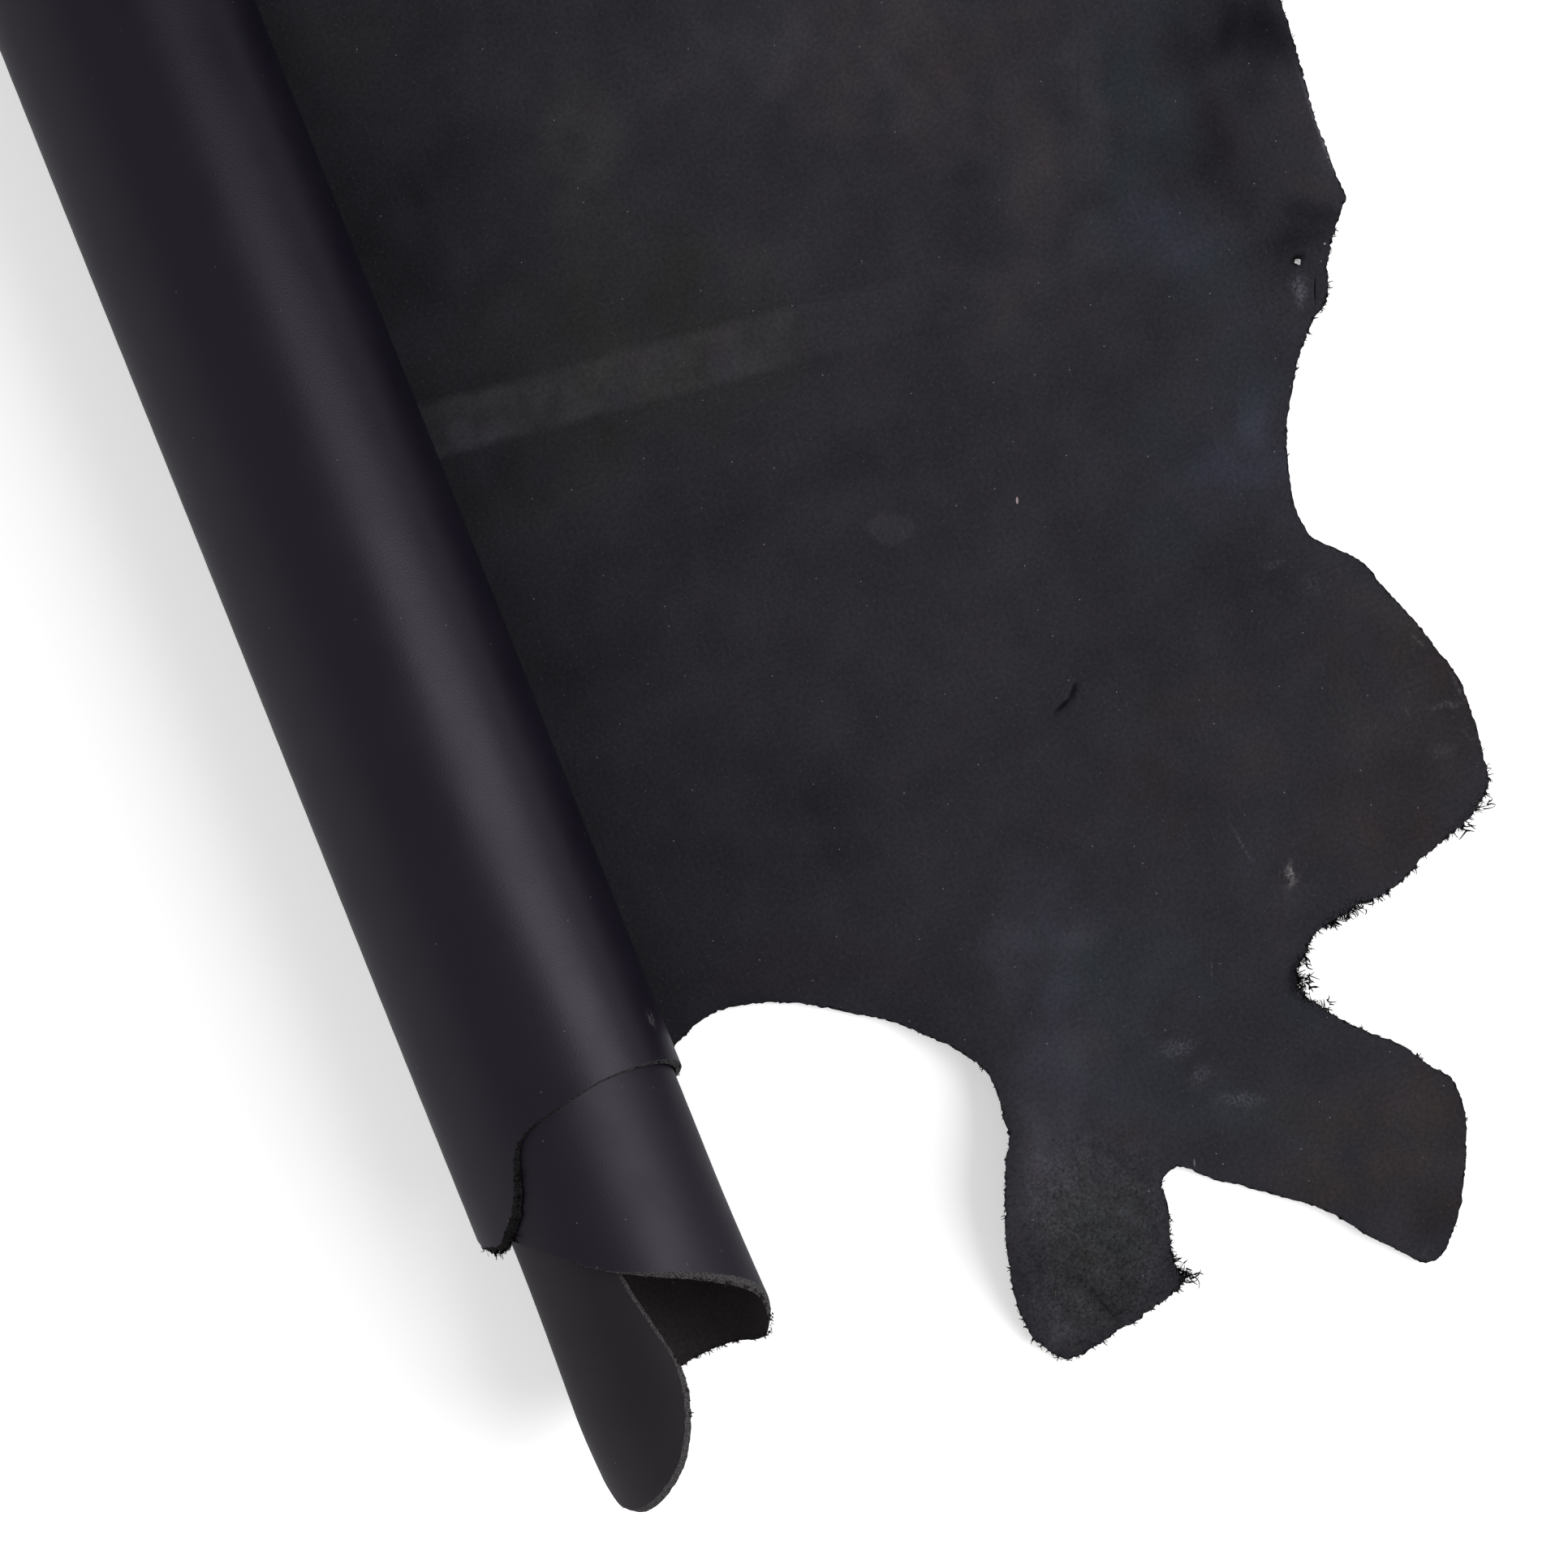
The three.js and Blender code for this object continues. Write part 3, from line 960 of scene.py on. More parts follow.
class Graph:
    """A tree of shader nodes, joined as they are added."""

    def __init__(self, tree: bpy.types.NodeTree) -> None:
        """Takes the tree to which nodes are added."""
        self.tree = tree

    def join(self, node: bpy.types.Node, inputs: Inputs) -> bpy.types.Node:
        """Fills inputs of a node.

        Args:
            node: the node.
            inputs: for each input, a socket to join to it or a value to set.

        Returns:
            The same node.
        """
        for key, value in inputs.items():
            if isinstance(value, Socket):
                self.tree.links.new(value, node.inputs[key])
            else:
                node.inputs[key].default_value = value
        return node

    def add(self, kind: str, inputs: Inputs, **options: object) -> bpy.types.Node:
        """Adds one node.

        Args:
            kind: the node's type, without ShaderNode in front.
            inputs: for each input, a socket to join to it or a value to set.
            options: the node's own options.

        Returns:
            The new node.
        """
        node = self.tree.nodes.new("ShaderNode" + kind)
        for name, value in options.items():
            setattr(node, name, value)
        return self.join(node, inputs)

    def fit(self, value: Socket, ramp: Ramp, soft: bool = False) -> Socket:
        """Fits one range of values to another, clamped at both ends.

        Args:
            value: the value.
            ramp: the two ranges.
            soft: whether it eases in and out.

        Returns:
            The new value.
        """
        names = ("From Min", "From Max", "To Min", "To Max")
        kind = "SMOOTHSTEP" if soft else "LINEAR"
        inputs = {"Value": value, **dict(zip(names, ramp))}
        return self.add("MapRange", inputs, interpolation_type=kind).outputs["Result"]

    def math(self, operation: str, a: Socket, b: Socket | float) -> Socket:
        """Joins two values by arithmetic and returns the result."""
        return self.add("Math", {0: a, 1: b}, operation=operation).outputs[0]

    def multiply(self, first: Socket, *others: Socket) -> Socket:
        """Multiplies values.

        Args:
            first: the first value.
            others: the other values.

        Returns:
            Their product.
        """
        for other in others:
            first = self.math("MULTIPLY", first, other)
        return first

    def mix(self, share: Socket | float, a: Socket | Colour, b: Socket | Colour,
            blend: str = "MIX") -> Socket:
        """Mixes two colours.

        Args:
            share: how much of the second one is mixed in.
            a: the first colour.
            b: the second colour.
            blend: how they are mixed.

        Returns:
            The new colour.
        """
        a, b = (colour if isinstance(colour, Socket) else (*colour, 1) for colour in (a, b))
        return self.add("Mix", {0: share, 6: a, 7: b}, data_type="RGBA", blend_type=blend).outputs[2]

    def scale(self, vector: Socket | Colour, by: Socket | float) -> Socket:
        """Multiplies a colour or a distance by a value and returns the result."""
        return self.add("VectorMath", {0: vector, "Scale": by}, operation="SCALE").outputs[0]


class Surface(Graph):
    """A material's nodes, with textures that lie on the unrolled hide."""

    def __init__(self, name: str) -> None:
        """Starts a material that has only its shader and its output.

        Args:
            name: the material's name.
        """
        self.material = bpy.data.materials.new(name)
        self.material.use_nodes = True
        super().__init__(self.material.node_tree)
        self.shader = self.tree.nodes["Principled BSDF"]

    def attribute(self, name: str, output: str = "Fac") -> Socket:
        """Reads an attribute of the mesh."""
        return self.add("Attribute", {}, attribute_name=name).outputs[output]

    @cached_property
    def pattern(self) -> Socket:
        """The place on the unrolled hide, in metres."""
        return self.attribute("pattern", "Vector")

    def noise(self, size: float, detail: float = 2.0) -> Socket:
        """Adds a noise.

        Args:
            size: its size, in metres.
            detail: how fine it is within that.

        Returns:
            Its value.
        """
        inputs = {"Vector": self.pattern, "Scale": 1 / size, "Detail": detail}
        inputs["Roughness"] = NOISE_ROUGHNESS
        return self.add("TexNoise", inputs, noise_dimensions="2D").outputs["Fac"]

    def mottle(self, mottle: Mottle) -> Socket:
        """Adds a noise, fits it to its values and returns them."""
        return self.fit(self.noise(mottle.size, mottle.detail), mottle.ramp)

    def cells(self, size: float) -> bpy.types.Node:
        """Adds cells of a given size in metres and returns their node."""
        inputs = {"Vector": self.pattern, "Scale": 1 / size}
        return self.add("TexVoronoi", inputs, voronoi_dimensions="2D")

    def warped(self, size: float, reach: float) -> Socket:
        """Pushes the pattern about by a noise.

        Args:
            size: the noise's size, in metres.
            reach: how far it pushes, in metres.

        Returns:
            The new places.
        """
        inputs = {"Vector": self.pattern, "Scale": 1 / size, "Detail": WARP_DETAIL}
        drift = self.add("TexNoise", inputs, noise_dimensions="2D").outputs["Color"]
        drift = self.add("VectorMath", {0: drift, 1: (0.5, 0.5, 0.5)}, operation="SUBTRACT").outputs[0]
        shift = self.scale(drift, reach)
        return self.add("VectorMath", {0: self.pattern, 1: shift}, operation="ADD").outputs[0]

    def seen_from(self, mark: Mark, at: Socket) -> Socket:
        """Measures places from a mark's middle.

        Args:
            mark: the mark.
            at: the places on the pattern.

        Returns:
            The places in half lengths and half widths of the mark.
        """
        place = {
            "Vector": at,
            "Location": (mark.across * MM, mark.along * MM, 0),
            "Rotation": (0, 0, math.radians(mark.heading)),
            "Scale": (mark.length * MM, mark.width * MM, 1),
        }
        return self.add("Mapping", place, vector_type="TEXTURE").outputs[0]

    def oval(self, mark: Mark, at: Socket) -> Socket:
        """Draws a soft oval.

        Args:
            mark: the mark.
            at: the places on the pattern.

        Returns:
            The mark's strength there.
        """
        place = self.seen_from(mark, at)
        distance = self.add("VectorMath", {0: place}, operation="LENGTH").outputs["Value"]
        return self.fit(distance, Ramp(1 - mark.soft, 1, mark.strength, 0), True)

    def specks(self, colour: Socket, specks: Specks) -> Socket:
        """Scatters pale specks.

        Args:
            colour: the colour under them.
            specks: their sizes and shade.

        Returns:
            The new colour.
        """
        cells = self.cells(specks.spacing)
        pick = self.add("SeparateColor", {0: cells.outputs["Color"]}).outputs[0]
        chosen = self.fit(pick, Ramp(1 - specks.share, 1 - specks.share * SPECK_PICK, 0, 1))
        radius = specks.radius / specks.spacing
        inner, outer = (radius * share for share in SPECK_RIM)
        close = self.fit(cells.outputs["Distance"], Ramp(inner, outer, 1, 0))
        tone = tuple(specks.shade * part for part in SPECK_TINT)
        return self.mix(self.multiply(chosen, close), colour, tone)

    def finish(self, colour: Socket, roughness: Socket | float, gloss: float) -> bpy.types.Material:
        """Joins the looks to the shader.

        Args:
            colour: the colour.
            roughness: the roughness.
            gloss: how strongly the surface shines.

        Returns:
            The material.
        """
        inputs = {"Base Color": colour, "Roughness": roughness, "Specular IOR Level": gloss}
        self.join(self.shader, inputs)
        return self.material

    def relief(self, height: Socket, depth: float, strength: float) -> None:
        """Joins a relief of a given depth in metres to the shader."""
        bump = self.add("Bump", {"Height": height, "Distance": depth, "Strength": strength})
        self.join(self.shader, {"Normal": bump.outputs["Normal"]})


@dataclass(frozen=True)
class FleshFinish:
    """The flesh side: matt charcoal with a fine nap, soft stains, marks, specks of lint, and some painted
    shade and light.
    """

    colour: Colour = (0.0238, 0.0228, 0.0283)
    roughness: float = 0.85
    gloss: float = 0.05
    nap_size: float = 0.0016
    nap_depth: float = 0.0002
    nap_relief: float = 0.5
    cloud: Mottle = Mottle(0.03, 4, Ramp(0.25, 0.75, 0.86, 1.14))
    nap: Mottle = Mottle(0.0016, 2, Ramp(0.25, 0.75, 0.82, 1.18))
    cast: Mottle = Mottle(0.024, 4, Ramp(0.3, 0.7, 0, 1))
    warm_cast: Colour = (1.02, 0.99, 0.985)
    cool_cast: Colour = (0.98, 1.01, 1.015)
    fuzzy: Mark = Mark(176, -222, 66, 44, 68, 0.5)
    fuzzy_wander: Span = (0.04, 0.03)
    fuzzy_nap: Mottle = Mottle(0.0013, 4, Ramp(0.3, 0.7, 0.7, 1.32))
    fuzzy_cloud: Mottle = Mottle(0.006, 3, Ramp(0.3, 0.7, 0.8, 1.18))
    band: Mark = Mark(121, 180, 100, 12, -7)
    band_side: Ramp = Ramp(0.72, 1.12, 1, 0)
    band_body: Ramp = Ramp(0.6, 1.15, 0.78, 0)
    band_tail: Ramp = Ramp(1.0, 2.1, 0.28, 0)
    band_root: Ramp = Ramp(-0.9, -0.3, 0.3, 0)
    band_patches: Mottle = Mottle(0.014, 3, Ramp(0.3, 0.7, 0.35, 0.95))
    band_tone: Colour = (1.64, 1.6, 1.6)
    band_root_tone: Colour = (2.15, 2.12, 1.98)
    band_root_share: Ramp = Ramp(-0.9, 0.1, 1, 0)
    mark_wander: Span = (0.008, 0.006)
    straight_width: float = 1.5
    chalk: Mottle = Mottle(0.0013, 3, Ramp(0.42, 0.62, 0.1, 1.0))
    lint: tuple[Specks, ...] = (Specks(0.016, 0.00017, 0.3, 0.32), Specks(0.0042, 0.00016, 0.35, 0.085))
    rim_wander: Mottle = Mottle(0.0025, 3, Ramp(0.3, 0.7, -0.0005, 0.0009))
    rim_speckle: Mottle = Mottle(0.0009, 2, Ramp(0.36, 0.66, 0.1, 1.3))
    rim_band: Ramp = Ramp(0.0005, 0.0045, 1, 0)
    rim_fray: Ramp = Ramp(0.45, 0.9, 0, 1)
    rim_line: Ramp = Ramp(0.0002, 0.0010, 0.65, 0)
    # Deep in the roll the flesh side is browner and about twice as light; the lightening is painted
    # light.
    rolled: Ramp = Ramp(-0.3, -0.1, 1, 0)
    rolled_tint_and_light: Colour = (2.25, 2.02, 1.68)
    # Painted shade: the flesh side darkens towards the roll, over this many millimetres from it.
    painted_roll_shade: float = 0.5
    painted_roll_shade_reach: float = 200.0
    stain_wander: tuple[Span, ...] = ((70.0, 8.0), (28.0, 5.0), (12.0, 2.5))
    stain_wander_seeds: tuple[int, int] = (40, 50)
    stain_wander_width: float = 34.0
    stain_waves: tuple[Wave, ...] = (Wave(0.4, 36, 60), Wave(0.3, 14, 61))
    stain_middle: float = 0.95
    stain_span: Span = (0.3, 1.5)

    def clouds(self, surface: Surface) -> Socket:
        """Varies the plain colour in soft clouds and a fine nap.

        Args:
            surface: the material's nodes.

        Returns:
            The colour.
        """
        value = surface.multiply(surface.mottle(self.cloud), surface.mottle(self.nap))
        cast = surface.mix(surface.mottle(self.cast), self.warm_cast, self.cool_cast)
        return surface.scale(surface.mix(1.0, self.colour, cast, "MULTIPLY"), value)

    def add_band(self, surface: Surface, colour: Socket) -> Socket:
        """Adds the pale band that comes from under the roll and fades.

        Args:
            surface: the material's nodes.
            colour: the colour so far.

        Returns:
            The new colour.
        """
        at = surface.seen_from(self.band, surface.pattern)
        x, y, _ = surface.add("SeparateXYZ", {0: at}).outputs
        inside = surface.fit(surface.math("ABSOLUTE", y, 0.0), self.band_side, True)
        fade = surface.math("ADD", surface.fit(x, self.band_body, True), surface.fit(x, self.band_tail))
        fade = surface.math("ADD", fade, surface.fit(x, self.band_root))
        share = surface.multiply(inside, fade, surface.mottle(self.band_patches))
        tone = surface.mix(surface.fit(x, self.band_root_share), self.band_tone, self.band_root_tone)
        return surface.mix(share, colour, tone, "MULTIPLY")

    def add_marks(self, surface: Surface, colour: Socket) -> Socket:
        """Adds the broad stains and the small marks, with the painted shade and light among them.

        Args:
            surface: the material's nodes.
            colour: the colour so far.

        Returns:
            The new colour.
        """
        # These casts hold the broad stains and also painted shade and light: towards the roll, on creases
        # and on the belly's corner.
        colour = surface.mix(1.0, colour, surface.attribute("stain_and_shade", "Vector"), "MULTIPLY")
        wandering = surface.warped(*self.mark_wander)
        chalky = surface.mottle(self.chalk)
        for mark in MARKS:
            straight = mark.width < self.straight_width
            share = surface.oval(mark, surface.pattern if straight else wandering)
            if mark.tone is Tone.CHALK:
                share = surface.multiply(share, chalky)
            colour = surface.mix(share, colour, mark.tone.value, "MULTIPLY")
        return colour

    def add_fuzz(self, surface: Surface, colour: Socket) -> Socket:
        """Coarsens the nap of the fuzzy part.

        Args:
            surface: the material's nodes.
            colour: the colour so far.

        Returns:
            The new colour.
        """
        coarse = surface.multiply(surface.mottle(self.fuzzy_nap), surface.mottle(self.fuzzy_cloud))
        share = surface.oval(self.fuzzy, surface.warped(*self.fuzzy_wander))
        return surface.mix(share, colour, surface.scale(colour, coarse))

    def brown(self, surface: Surface, colour: Socket) -> Socket:
        """Browns the flesh side deep in the roll and lightens it there; the lightening is painted light.

        Args:
            surface: the material's nodes.
            colour: the colour so far.

        Returns:
            The new colour.
        """
        across = surface.add("SeparateXYZ", {0: surface.pattern}).outputs[0]
        share = surface.fit(across, self.rolled)
        return surface.mix(share, colour, self.rolled_tint_and_light, "MULTIPLY")

    def add_rim(self, surface: Surface, colour: Socket) -> Socket:
        """Draws a broken dark line along the cut edge and a speckled band where it is frayed.

        Args:
            surface: the material's nodes.
            colour: the colour so far.

        Returns:
            The new colour.
        """
        inset = surface.math("ADD", surface.attribute("inset"), surface.mottle(self.rim_wander))
        frayed = surface.fit(surface.attribute("fray"), self.rim_fray)
        band = surface.multiply(surface.fit(inset, self.rim_band), frayed)
        colour = surface.mix(band, colour, surface.scale(colour, surface.mottle(self.rim_speckle)))
        return surface.mix(surface.fit(inset, self.rim_line, True), colour, (0.0, 0.0, 0.0))

    def material(self) -> bpy.types.Material:
        """Builds the finish.

        Returns:
            Its material.
        """
        surface = Surface("flesh_side")
        colour = self.clouds(surface)
        for step in (self.add_band, self.add_marks, self.add_fuzz, self.brown):
            colour = step(surface, colour)
        for specks in self.lint:
            colour = surface.specks(colour, specks)
        surface.relief(surface.noise(self.nap_size, 3), self.nap_depth, self.nap_relief)
        return surface.finish(self.add_rim(surface, colour), self.roughness, self.gloss)

    def stain_and_shade(self, points: Array) -> Array:
        """Casts the broad stains, whose edges wander more the broader they are, and a painted shade
        towards the roll.

        Args:
            points: points of the pattern.

        Returns:
            For each point, a multiple of the plain colour.
        """
        u = points[:, 0]
        v = points[:, 1]
        drift = [
            sum(reach * ripple(u, v, size, seed + k) for k, (size, reach) in enumerate(self.stain_wander))
            for seed in self.stain_wander_seeds
        ]
        mottle = np.full(len(points), self.stain_middle)
        for wave in self.stain_waves:
            mottle += wave.share * ripple(u, v, wave.length, wave.seed)
        mottle = np.clip(mottle, *self.stain_span)
        # Painted shade: darker towards the roll, which shades the flesh side there.
        beside = np.clip((self.painted_roll_shade_reach - points[:, :1]) / self.painted_roll_shade_reach, 0, 1)
        cast = np.ones((len(points), 3)) * (1 - self.painted_roll_shade * beside**2)
        for mark in STAINS_AND_SHADE:
            angle = math.radians(mark.heading)
            breadth = min(1.0, mark.width / self.stain_wander_width)
            x = u + drift[0] * breadth - mark.across
            y = v + drift[1] * breadth - mark.along
            ahead = (x * math.cos(angle) + y * math.sin(angle)) / mark.length
            aside = (y * math.cos(angle) - x * math.sin(angle)) / mark.width
            share = 1 - smooth((np.hypot(ahead, aside) - 1 + mark.soft) / mark.soft)
            strength = mark.strength * share * (1 + (mottle - 1) * breadth)
            cast *= 1 + (np.array(mark.tone.value) - 1) * strength[:, None]
        return cast


@dataclass(frozen=True)
class GrainFinish:
    """The grain side: smooth satin black with a fine pebbled grain, one scuff, a few specks, and painted
    light at the tongue's tip.
    """

    colour: Colour = (0.0046, 0.0035, 0.0078)
    inner_colour: Colour = (0.0078, 0.0066, 0.0074)
    inner: Ramp = Ramp(-0.64, -0.6, 1, 0)
    # Lighter towards the tongue's tip: painted light.
    tip: Ramp = Ramp(-0.245, -0.2, 1.7, 1)
    cloud: Mottle = Mottle(0.06, 3, Ramp(0.3, 0.7, 0.93, 1.07))
    speckle: Mottle = Mottle(0.0007, 2, Ramp(0.25, 0.75, 0.9, 1.1))
    scuff: Mark = Mark(-211, -65.5, 5, 4.2, 70, 0.9, 0.9)
    scuff_colour: Colour = (0.06, 0.058, 0.06)
    scuff_patches: Mottle = Mottle(0.002, 3, Ramp(0.4, 0.6, 0, 1))
    lint: Specks = Specks(0.017, 0.00022, 0.2, 0.12)
    roughness: Mottle = Mottle(0.03, 3, Ramp(0.3, 0.7, 0.39, 0.45))
    inner_roughness: Ramp = Ramp(-0.36, -0.31, 0.08, 0)
    gloss: float = 0.02
    sheen: Colour = (15.4, 14.0, 16.4)
    pebble_size: float = 0.0009
    pore_size: float = 0.0004
    pebble_depth: float = 0.00006
    pebble_relief: float = 0.35

    def material(self) -> bpy.types.Material:
        """Builds the finish.

        Returns:
            Its material.
        """
        surface = Surface("grain_side")
        across, along, _ = surface.add("SeparateXYZ", {0: surface.pattern}).outputs
        colour = surface.mix(surface.fit(across, self.inner), self.colour, self.inner_colour)
        # Painted light: lighter towards the tongue's tip.
        colour = surface.scale(colour, surface.fit(along, self.tip))
        mottled = surface.multiply(surface.mottle(self.cloud), surface.mottle(self.speckle))
        colour = surface.scale(colour, mottled)
        scuff = surface.oval(self.scuff, surface.pattern)
        worn = surface.multiply(scuff, surface.mottle(self.scuff_patches))
        colour = surface.mix(worn, colour, self.scuff_colour)
        colour = surface.specks(colour, self.lint)
        rougher = surface.fit(across, self.inner_roughness)
        rough = surface.math("ADD", surface.mottle(self.roughness), rougher)
        cells = surface.cells(self.pebble_size).outputs["Distance"]
        pebble = surface.math("ADD", cells, surface.noise(self.pore_size))
        surface.relief(pebble, self.pebble_depth, self.pebble_relief)
        surface.join(surface.shader, {"Specular Tint": (*self.sheen, 1)})
        return surface.finish(colour, rough, self.gloss)


@dataclass(frozen=True)
class CutFinish:
    """The raw cut: dark brownish black and fibrous, paler on the inner turns, and lighter on the mouth's
    rim by painted light.
    """

    colour: Colour = (0.0081, 0.0077, 0.0080)
    shades: tuple[Ramp, ...] = (
        Ramp(-0.18, -0.145, 3.8, 1),
        Ramp(-0.40, -0.36, 1.55, 1),
        # Lighter on the mouth's rim and further in, where the cut lies in shade: painted light.
        Ramp(-0.57, -0.54, 2.0, 1),
        Ramp(-0.64, -0.61, 0.5, 1),
    )
    strand_size: float = 0.0006
    strand_shade: Ramp = Ramp(0.32, 0.68, 0.25, 1.9)
    strand_depth: float = 0.0004
    strand_relief: float = 0.8
    roughness: float = 0.9
    gloss: float = 0.05

    def material(self) -> bpy.types.Material:
        """Builds the finish.

        Returns:
            Its material.
        """
        surface = Surface("cut_face")
        strand = surface.noise(self.strand_size, 3)
        across = surface.add("SeparateXYZ", {0: surface.pattern}).outputs[0]
        pale = surface.multiply(*(surface.fit(across, shade) for shade in self.shades))
        fibrous = surface.multiply(surface.fit(strand, self.strand_shade), pale)
        surface.relief(strand, self.strand_depth, self.strand_relief)
        return surface.finish(surface.scale(self.colour, fibrous), self.roughness, self.gloss)


@dataclass(frozen=True)
class FibreFinish:
    """Loose fibres: black to grey brown."""

    colour: Colour = (0.0055, 0.0050, 0.0047)
    roughness: float = 0.9
    gloss: float = 0.0

    def material(self) -> bpy.types.Material:
        """Builds the finish.

        Returns:
            Its material.
        """
        surface = Surface("loose_fibre")
        colour = surface.scale(self.colour, surface.attribute("shade"))
        return surface.finish(colour, self.roughness, self.gloss)


def keep(mesh: bpy.types.Mesh, name: str, values: Array) -> None:
    """Keeps values with a mesh's points, as an attribute.

    Args:
        mesh: the mesh.
        name: the attribute's name.
        values: a number for each point, or three in a row.
    """
    kind, field = ("FLOAT", "value") if values.ndim == 1 else ("FLOAT_VECTOR", "vector")
    mesh.attributes.new(name, kind, "POINT").data.foreach_set(field, values.ravel())


def link(mesh: bpy.types.Mesh) -> bpy.types.Object:
    """Puts a mesh into the scene.

    Args:
        mesh: the mesh.

    Returns:
        An object of the same name.
    """
    piece = bpy.data.objects.new(mesh.name, mesh)
    bpy.context.scene.collection.objects.link(piece)
    return piece


@dataclass
class Hide:
    """The leather side itself: one closed sheet with flesh, grain and a slanted cut face."""

    lie: Lie
    edge: CutEdge
    flesh: FleshFinish = FleshFinish()
    grain: GrainFinish = GrainFinish()
    cut: CutFinish = CutFinish()
    slant: float = 3.0
    slant_from: float = -10.0
    slant_over: float = 20.0
    slant_reach: float = 10.0
    fray_from: float = 0.22
    fray_over: float = 0.3
    rolled_slant: float = 0.8
    tongue_from: float = -630.0
    tongue_slant: float = 1.3
    tip_from: float = -186.0
    tip_over: float = 14.0
    tip_slant: float = 2.4
    pull_reach: int = 5
    touching: float = 0.05
    edge_gap: float = 0.5
    dense_turns: Span = (0.06, 1.0)
    cut_rows: tuple[CutRow, ...] = (CutRow(0.3, 0.45, 0.16), CutRow(0.94, -1.15, 0.04))
    slit_rows: tuple[float, ...] = (-1.4, -0.8, -0.4, 0, 0.4, 0.8, 1.4)
    slit_points: int = 30
    slit_ends: Span = (0.02, 0.98)
    slit_taper: float = 0.6
    slit_clear: float = 1.2
    hole_points: int = 18
    hole_fray: float = 0.28
    hole_inside: float = 1.4
    hole_clear: float = 1.6
    hole_upright: float = 3.0
    merged: float = 1e-5
    sharp_angle: float = 58.0
    seed: int = 5

    def patches(self) -> list[Patch]:
        """Says where the sheet's points are close together and where they are not.

        Returns:
            Patches that cover the pattern.
        """
        turns = (*self.dense_turns, SCROLL[-1].turn)
        first, second, last = (float(self.lie.across(turn)) for turn in turns)
        return [
            Patch(first, 460, -290, NEAR_END, 4.0, 3.5),
            Patch(second, first, -140, NEAR_END, 5.0, 7.0),
            Patch(last, second, -250, -40, 4.5, 5.0),
            Patch(last, second, -40, NEAR_END, 9.0, 24.0),
            Patch(first, 460, NEAR_END, FAR_END, 14.0, 24.0),
            Patch(last, first, NEAR_END, FAR_END, 7.0, 36.0),
        ]

    def inside(self, points: Array) -> Array:
        """Tells which points of the pattern lie inside the cut edge.

        Args:
            points: points of the pattern, in rows.

        Returns:
            True or False for each.
        """
        start = self.edge.points
        end = np.roll(start, -1, 0)
        found = np.zeros(len(points), bool)
        for along in np.unique(points[:, 1]):
            crossed = (start[:, 1] <= along) != (end[:, 1] <= along)
            a = start[crossed]
            b = end[crossed]
            at = np.sort(a[:, 0] + (along - a[:, 1]) / (b[:, 1] - a[:, 1]) * (b[:, 0] - a[:, 0]))
            row = points[:, 1] == along
            found[row] = np.searchsorted(at, points[row, 0]) % 2 == 1
        return found

    def nearest(self, points: Array) -> tuple[Array, Array]:
        """Finds the cut edge's nearest point to each point of the pattern.

        Args:
            points: points of the pattern.

        Returns:
            The distances, and the nearest points' numbers.
        """
        tree = KDTree(len(self.edge.points))
        for i, point in enumerate(self.edge.points):
            tree.insert((*point, 0), i)
        tree.balance()
        found = [tree.find((*point, 0)) for point in points]
        return np.array([row[2] for row in found]), np.array([row[1] for row in found])

    def spread(self) -> Array:
        """Spreads staggered points over the hide.

        Returns:
            Points of the pattern inside the cut edge.
        """
        kept = []
        for patch in self.patches():
            rows = np.arange(patch.along + patch.step_along / 2, patch.to_along, patch.step_along)
            columns = np.arange(patch.across + patch.step_across / 4, patch.to_across, patch.step_across)
            across, along = np.meshgrid(columns, rows)
            across = across + (np.arange(len(rows)) % 2)[:, None] * patch.step_across / 2
            points = np.stack([across.ravel(), along.ravel()], 1)
            points = points[self.inside(points)]
            distance, _ = self.nearest(points)
            kept.append(points[distance > self.edge_gap * min(patch.step_across, patch.step_along)])
        return np.concatenate(kept)

    def slit_line(self, slit: Slit) -> Array:
        """Runs a curve through a slit.

        Args:
            slit: the slit.

        Returns:
            Close points along it.
        """
        start, middle, end = (np.array(point) for point in (slit.start, slit.middle, slit.end))
        t = np.linspace(0, 1, self.slit_points)[:, None]
        return (1 - t) ** 2 * start + 2 * t * (1 - t) * (2 * middle - (start + end) / 2) + t**2 * end

    def slit_depth(self, points: Array) -> Array:
        """Sinks the slits into the flesh side.

        Args:
            points: points of the pattern.

        Returns:
            The depth at each.
        """
        depth = np.zeros(len(points))
        for slit in SLITS:
            line = self.slit_line(slit)
            gaps = np.linalg.norm(points[:, None] - line[None], axis=2)
            share = np.clip(gaps.argmin(1) / (len(line) - 1), *self.slit_ends)
            taper = np.sin(math.pi * share) ** self.slit_taper
            groove = np.exp(-((gaps.min(1) / (0.5 * slit.width)) ** 2))
            depth = np.maximum(depth, slit.depth * taper * groove)
        return depth

    def beside_slits(self) -> Array:
        """Draws rows of points along and beside the slits, so that the sheet can bend into them.

        Returns:
            Points of the pattern.
        """
        rows = []
        for slit in SLITS:
            line = self.slit_line(slit)
            run = unit(np.gradient(line, axis=0))
            side = np.stack([-run[:, 1], run[:, 0]], 1)
            rows += [line + side * slit.width * k for k in self.slit_rows]
        return np.concatenate(rows)

    def hole_ring(self) -> Array:
        """Draws the ragged rim of the small hole.

        Returns:
            Points of the pattern.
        """
        dice = np.random.default_rng(self.seed)
        angle = np.arange(self.hole_points) / self.hole_points * 2 * math.pi
        radius = HOLE_RADIUS * (1 + dice.uniform(-self.hole_fray, self.hole_fray, len(angle)))
        return np.array(HOLE) + np.stack([np.cos(angle), np.sin(angle)], 1) * radius[:, None]

